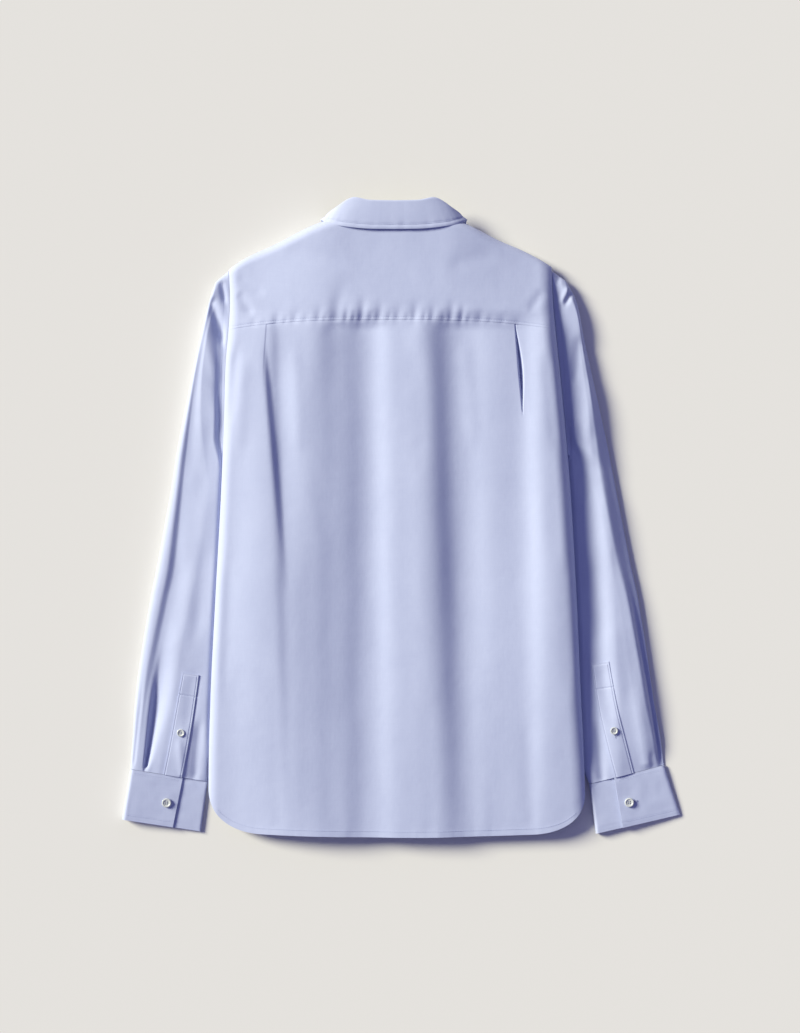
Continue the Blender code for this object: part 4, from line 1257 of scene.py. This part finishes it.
def yoke_point(w, above):
    y = seam_y(w) + above
    return Vector((body_x(w, y), y, yoke_face(w, y)[0]))


def yoke_stitches():
    return [([yoke_point(w / 240, YOKE_STITCH) for w in range(3, 238)], UP)]


def sleeve_stitches(side):
    """The armhole's topstitching, on the sleeve's side of the seam, close to the body."""
    return [([sleeve_point(side, 0.5, 0.03 + 0.9 * k / 119) for k in range(120)], UP)]


def gauntlet_surface(side, down, across):
    return gauntlet_point(side, down, across) + UP * (gauntlet_stand(across) - 0.3)


def gauntlet_stitches(side):
    """Down both edges, and a box across the top, as such a placket is closed."""
    near = STITCH_IN / GAUNTLET_SEWN
    far = 1 - near
    paths = []
    for across in (near, far):
        paths.append(([gauntlet_surface(side, d / 50, across) for d in range(1, 50)], UP))
    for down in (0.02, GAUNTLET_BOX):
        paths.append(([gauntlet_surface(side, down, mix(near, far, k / 10)) for k in range(11)], UP))
    return paths


def cuff_surface(side, down, t):
    place = cuff_corner(side, t, down)
    soft = cuff_ripple(place) - 0.1
    return Vector((place.x, place.y, CUFF_TOP_Z + soft - 0.1 + cuff_tilt(side, place)))


def cuff_stitches(side):
    """Along the sleeve's seam, above the foot, and down the overlap's edge."""
    def stop(down):
        return mix(*CUFF_ENDS[side], down) - CUFF_STITCH_IN

    paths = []
    for down in CUFF_STITCHES:
        line = [mix(CUFF_ROLL_SHARE, stop(down), k / 60) for k in range(61)]
        paths.append(([cuff_surface(side, down, t) for t in line], UP))
    paths.append(([cuff_surface(side, d / 20, stop(d / 20)) for d in range(1, 19)], UP))
    return paths


def fall_stitches():
    """Round the edge of the collar's fall, where its rim is topstitched."""
    path = []
    for turn in COLLAR_TURNS[2:-2]:
        edge, start, _, _, away = fall_line(turn)
        share = COLLAR_STITCH / (start - edge).length
        path.append((edge.lerp(start, share) - away * 0.1, away))
    # the rim turns over at the shoulders, so each stretch keeps its own way out
    parts = [path[k:k + 9] for k in range(0, len(path) - 8, 8)]
    return [([p for p, _ in part], part[4][1]) for part in parts]


def placket_stitches():
    middle, half = CENTRE_X + PLACKET_SHIFT, PLACKET_WIDTH / 2
    low, high = hem_y(0.5) + FRONT_HEM_RISE + 2, PLACKET_TOP_Y - 4
    z = BUTTON_THICK + LAY_GAP + 0.2
    paths = []
    for x in (middle - half + PLACKET_STITCH, middle + half - PLACKET_STITCH):
        paths.append(([Vector((x, mix(low, high, k / 60), z)) for k in range(61)], DOWN))
    return paths


# A button's turned outline as shares of its radius and thickness, from the middle of its
# back round its rim to the middle of its dished face.
BUTTON_OUTLINE = (
    (0.0, 0.0), (0.80, 0.0), (0.94, 0.16), (0.995, 0.42), (1.0, 0.60), (0.985, 0.78),
    (0.94, 0.92), (0.88, 0.985), (0.81, 1.0), (0.74, 0.985), (0.68, 0.90), (0.63, 0.78),
    (0.58, 0.70), (0.50, 0.665), (0.0, 0.65),
)
BUTTON_STEPS = 64
HOLE_SIZE, HOLE_OFF = 0.15, 0.27        # a hole's radius and place, as shares of the radius
THREAD_LEVEL = 0.72                     # of the thickness
THREAD_WIDE, THREAD_APART = 0.34, 0.16


def from_maker(name, maker):
    mesh = bpy.data.meshes.new(name)
    maker.to_mesh(mesh)
    maker.free()
    return linked(name, mesh)


def turned_body(name, radius, thick):
    """The button's body without its holes, lying on its back."""
    maker = bmesh.new()
    rings = []
    for share, level in BUTTON_OUTLINE:
        r = share * radius
        angles = [2 * math.pi * k / BUTTON_STEPS for k in range(BUTTON_STEPS if share else 1)]
        rings.append([maker.verts.new((r * math.cos(a), r * math.sin(a), level * thick)) for a in angles])
    for low, high in zip(rings, rings[1:]):
        for k in range(BUTTON_STEPS):
            n = (k + 1) % BUTTON_STEPS
            corners = [low[k % len(low)], low[n % len(low)], high[n % len(high)], high[k % len(high)]]
            maker.faces.new(list(dict.fromkeys(corners)))
    return from_maker(name, maker)


def hole_places(radius):
    off = HOLE_OFF * radius
    angles = [math.pi * (0.25 + 0.5 * k) for k in range(4)]
    return [(off * math.cos(a), off * math.sin(a)) for a in angles]


def drilled(body, radius, thick):
    """The body's mesh with its four holes cut through."""
    maker = bmesh.new()
    for x, y in hole_places(radius):
        made = bmesh.ops.create_cone(maker, cap_ends=True, segments=16, radius1=HOLE_SIZE * radius,
                                     radius2=HOLE_SIZE * radius, depth=3 * thick)
        bmesh.ops.translate(maker, verts=made["verts"], vec=(x, y, 0.5 * thick))
    cutter = from_maker("drill", maker)
    cut = body.modifiers.new("holes", "BOOLEAN")
    cut.object, cut.operation, cut.solver = cutter, "DIFFERENCE", "EXACT"
    bpy.context.view_layer.update()
    done = bpy.data.meshes.new_from_object(body.evaluated_get(bpy.context.evaluated_depsgraph_get()))
    body.modifiers.clear()
    bpy.data.objects.remove(cutter)
    return done


def button_box(model):
    """The model button's middle, its lower and upper levels, its radius and its thickness."""
    low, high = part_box(model)
    sizes = (low.z / MM, high.z / MM, 0.5 * (high.x - low.x) / MM, (high.z - low.z) / MM)
    return (low + high) / 2 / MM, *sizes


def button(model, under):
    """A turned four-hole button, sewn on, in the place of the model's plain one.

    Those under the shirt face down, and are sewn crosswise; the others have two bars of thread.
    """
    middle, low, high, radius, thick = button_box(model)
    sign, base = (-1, high) if under else (1, low)
    body = turned_body(model + "_turned", radius, thick)
    body.data = drilled(body, radius, thick)
    for vertex in body.data.vertices:
        x, y, z = vertex.co
        vertex.co = Vector((middle.x + x, middle.y + sign * y, base + sign * z)) * MM
    finish_mesh(body.data, pearl, 40)
    points, faces = [], []
    corners = [Vector((middle.x + x, middle.y + sign * y, base + sign * THREAD_LEVEL * thick))
               for x, y in hole_places(radius)]
    up = UP * sign
    for a, b in ((0, 2), (1, 3)) if under else ((0, 1), (3, 2)):
        way = (corners[b] - corners[a]).normalized().cross(up)
        for shift in (-THREAD_APART, THREAD_APART):
            capsule(corners[a] + way * shift, corners[b] + way * shift, up, points, faces, THREAD_WIDE)
    sewn = add_object(model + "_turned_thread", points, faces, thread)
    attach(body, "root")
    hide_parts(model)
    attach(sewn, "root")


SLOT_PITCH = 0.45       # from one worked stitch of a buttonhole to the next
SLOT_LIP = 0.75         # how far its two lips lie from its middle
SLOT_THREAD = 0.36


def buttonhole(middle, along, length, points, faces):
    """A slot worked round with close stitches."""
    side = along.cross(UP).normalized()
    count = int(length / SLOT_PITCH)
    bars = []
    for k in range(count + 1):
        for sign in (-1, 1):
            at = middle + along * (length * (k / count - 0.5)) + side * sign * SLOT_LIP
            bars.append((at, side * 0.55))
    for end in (-1, 1):
        for k in (-1, 0, 1):
            at = middle + along * end * (0.5 * length + 0.25) + side * k * SLOT_PITCH
            bars.append((at, along * 0.5))
    for at, half in bars:
        capsule(at - half, at + half, UP, points, faces, SLOT_THREAD)


# ---------------------------------------------------------------- materials

def set_inputs(made, inputs):
    for name, value in inputs.items():
        made.inputs[name.replace("_", " ")].default_value = value


class Look:
    """A new material, and the nodes that it is made with."""

    def __init__(self, name, **inputs):
        self.material = bpy.data.materials.new(name)
        self.material.use_nodes = True
        self.tree = self.material.node_tree
        self.shader = self.tree.nodes["Principled BSDF"]
        set_inputs(self.shader, inputs)

    def link(self, output, made, name):
        self.tree.links.new(output, made.inputs[name])

    def node(self, kind, **inputs):
        made = self.tree.nodes.new("ShaderNode" + kind)
        set_inputs(made, inputs)
        return made

    def place(self):
        return self.node("TexCoord").outputs["Object"]

    def noise(self, vector, **inputs):
        made = self.node("TexNoise", **inputs)
        self.link(vector, made, "Vector")
        return made.outputs["Fac"]

    def math(self, operation, *terms):
        """A sum of terms, each of them a number or another node's output."""
        made = self.node("Math")
        made.operation = operation
        for i, term in enumerate(terms):
            if isinstance(term, float):
                made.inputs[i].default_value = term
            else:
                self.link(term, made, i)
        return made.outputs[0]

    def colours(self, share, *stops):
        """The base colour, between two stops of a position and a colour each."""
        made = self.node("ValToRGB")
        for element, (position, colour) in zip(made.color_ramp.elements, stops):
            element.position = position
            element.color = (*colour, 1)
        self.link(share, made, "Fac")
        self.link(made.outputs["Color"], self.shader, "Base Color")

    def bump(self, height, strength, distance):
        made = self.node("Bump", Strength=strength, Distance=distance)
        self.link(height, made, "Height")
        return made


def cloth_material(name, deep, pale):
    """Fine plain-woven cotton: mottled colour, slubs along the yarns, and a close weave."""
    look = Look(name, Roughness=0.82, Specular_IOR_Level=0.25, Sheen_Weight=0.12, Sheen_Roughness=0.5)
    place = look.place()
    # broad unevenness of a washed dye
    broad = look.noise(place, Scale=16.0, Detail=5.0, Roughness=0.6)
    fine = look.noise(place, Scale=900.0, Detail=2.0, Roughness=0.6)
    # slubs: yarns that run a little thick, along and across
    slubs = []
    for scale in ((1400.0, 60.0, 60.0), (60.0, 1400.0, 60.0)):
        stretch = look.node("Mapping", Scale=scale)
        look.link(place, stretch, "Vector")
        slubs.append(look.noise(stretch.outputs["Vector"], Scale=1.0, Detail=1.0))
    look.colours(look.math("MULTIPLY_ADD", look.math("ADD", *slubs), 0.34, broad),
                 (0.45, deep), (1.0, pale))
    # weave: two crossed waves, finer than a millimetre
    waves = []
    for direction in ("X", "Y"):
        wave = look.node("TexWave", Scale=470.0, Distortion=0.6, Detail=1.0)
        wave.bands_direction = direction
        look.link(place, wave, "Vector")
        waves.append(wave.outputs["Fac"])
    weave = look.math("MULTIPLY_ADD", fine, 0.5, look.math("MULTIPLY", *waves))
    # soft rumples too small to model
    rumple = look.noise(place, Scale=70.0, Detail=3.0, Roughness=0.55)
    soft = look.bump(rumple, 0.12, 0.002)
    look.link(look.bump(weave, 0.28, 0.0003).outputs["Normal"], soft, "Normal")
    look.link(soft.outputs["Normal"], look.shader, "Normal")
    return look.material


def thread_material(name, colour):
    look = Look(name, Roughness=0.6)
    twist = look.noise(look.place(), Scale=2200.0, Detail=1.0)
    look.colours(twist, (0.0, [0.82 * c for c in colour]), (1.0, colour))
    return look.material


def pearl_material(name):
    """Pale shell-like resin with faint cloudy bands."""
    look = Look(name, Roughness=0.24, Coat_Weight=0.2, Coat_Roughness=0.12)
    cloud = look.noise(look.place(), Scale=260.0, Detail=3.0, Distortion=1.4)
    look.colours(cloud, (0.3, (0.47, 0.49, 0.49)), (0.7, (0.70, 0.71, 0.69)))
    return look.material


# ---------------------------------------------------------------- the pieces

cloth = cloth_material("shirt_cloth", (0.485, 0.526, 0.722), (0.530, 0.571, 0.767))
thread = thread_material("shirt_thread", (0.54, 0.58, 0.78))
pearl = pearl_material("button_pearl")


def cloth_piece(name, grid, paths, flat, area=None, rests_on=(), wall=CLOTH_WALL, sewn_as=None, **form):
    """A cut piece of the shirt, in the place of its CAD node, with the stitching on its paths."""
    piece = shell(name + "_cloth", grid, wall, **form)
    extra = [stitches((sewn_as or name) + "_stitching", paths)] if paths else []
    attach(piece, "root")
    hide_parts(name)
    for sewn in extra:
        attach(sewn, "root")


def make_body():
    fronts = ["front_left", "front_right"]
    cloth_piece("back", back_grid(), back_stitches(), (0.47, 0.63), rests_on=fronts, level_sides=(0, -1))
    cloth_piece("yoke", yoke_grid(), yoke_stitches(), (0.42, 0.20), 0.06, fronts)
    for side, edge in ((LEFT, -1), (RIGHT, 0)):
        cloth_piece("front_" + SIDES[side], front_grid(side), [], (0.26, 0.72), 0.17, level_sides=(edge,))
    cloth_piece("placket", placket_grid(), placket_stitches(), (0.032, 0.65))


def make_sleeve(side):
    name, grid = SIDES[side], sleeve_grid(side)
    cloth_piece("sleeve_" + name, grid, sleeve_stitches(side), (0.40, 0.60), 0.135,
                inner=sleeve_lining(grid))
    cloth_piece("gauntlet_" + name, gauntlet_grid(side), gauntlet_stitches(side), (0.024, 0.13),
                rests_on=["sleeve_" + name], wall=GAUNTLET_SHOWN)
    cloth_piece("cuff_" + name, cuff_grid(side), cuff_stitches(side), (0.24, 0.065), wall=STIFF_WALL)


def make_collar():
    cloth_piece("collar_stand", stand_grid(), [], (0.40, 0.032), 0.0112, wall=STIFF_WALL)
    cloth_piece("collar_fall", fall_grid(), fall_stitches(), (0.42, 0.042), 0.0165, ["yoke"],
                wall=STIFF_WALL, sewn_as="collar")


def make_buttonholes():
    """Worked holes beside the cuff and placket buttons; the fronts' holes lie under theirs."""
    points, faces = [], []
    for side in (LEFT, RIGHT):
        middle, *_ = button_box("cuff_button_" + SIDES[side])
        out = cuff_corner(side, 0.2, 0.5) - cuff_corner(side, 0.5, 0.5)
        along = Vector((out.x, out.y, 0)).normalized()
        at = Vector((middle.x, middle.y, CUFF_TOP_Z + 0.15)) + along * 5.6
        buttonhole(at, along, 7.0, points, faces)
        middle, low, *_ = button_box("gauntlet_button_" + SIDES[side])
        near, far = gauntlet_surface(side, 0.60, 0.5), gauntlet_surface(side, 0.85, 0.5)
        along = (far - near).normalized()
        at = Vector((middle.x, middle.y, low - 0.15)) + along * 4.6
        buttonhole(at, along, 8.0, points, faces)
    made = add_object("buttonholes", points, faces, thread)
    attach(made, "root")


def make_buttons():
    for model in sorted(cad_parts):
        if "button" in model:
            button(model, model.startswith(("front", "collar")))


# ---------------------------------------------------------------- floor, light and camera

FLOOR_HALF, FLOOR_LEVEL = 3.0, -0.0005
FLOOR_COLOUR = (0.812, 0.788, 0.742)
SUN_FROM = (-0.86, 0.42)         # plan direction the light comes from
SUN_ELEVATION = math.radians(27.5)
SUN_STRENGTH = 5.55
SUN_ANGLE = math.radians(21.0)
SUN_COLOUR = (1.0, 0.995, 0.815)
SKY = (0.52, 0.545, 1.13)
SKY_STRENGTH = 0.28


def make_stage():
    mesh = bpy.data.meshes.new("floor")
    corners = [(x * FLOOR_HALF, y * FLOOR_HALF, FLOOR_LEVEL)
               for x, y in ((-1, -1), (1, -1), (1, 1), (-1, 1))]
    mesh.from_pydata(corners, [], [(0, 1, 2, 3)])
    look = Look("floor", Base_Color=(*FLOOR_COLOUR, 1), Roughness=0.9, Specular_IOR_Level=0.0)
    mesh.materials.append(look.material)
    linked("floor", mesh)


def make_light():
    lamp = bpy.data.lights.new("window", "SUN")
    lamp.energy = SUN_STRENGTH
    lamp.angle = SUN_ANGLE
    lamp.color = SUN_COLOUR
    way = Vector((*SUN_FROM, 0)).normalized() * math.cos(SUN_ELEVATION) + UP * math.sin(SUN_ELEVATION)
    linked("window", lamp).rotation_euler = way.to_track_quat("Z", "Y").to_euler()
    world = bpy.data.worlds.new("room")
    world.use_nodes = True
    set_inputs(world.node_tree.nodes["Background"], {"Color": (*SKY, 1), "Strength": SKY_STRENGTH})
    bpy.context.scene.world = world


VIEW_HEIGHT = 1.2396    # metres of surface the picture spans from top to bottom
LENS, SENSOR = 85.0, 36.0
VIEW_CENTRE = (-0.0018, -0.0006)


def make_camera():
    data = bpy.data.cameras.new("camera")
    data.lens = LENS
    data.sensor_fit = "VERTICAL"
    data.sensor_height = SENSOR
    camera = linked("camera", data)
    camera.location = (*VIEW_CENTRE, VIEW_HEIGHT * LENS / SENSOR)
    bpy.context.scene.camera = camera
    bpy.context.scene.view_settings.view_transform = "Standard"


make_body()
make_sleeve(LEFT)
make_sleeve(RIGHT)
make_collar()
make_buttonholes()
make_buttons()
make_stage()
make_light()
make_camera()
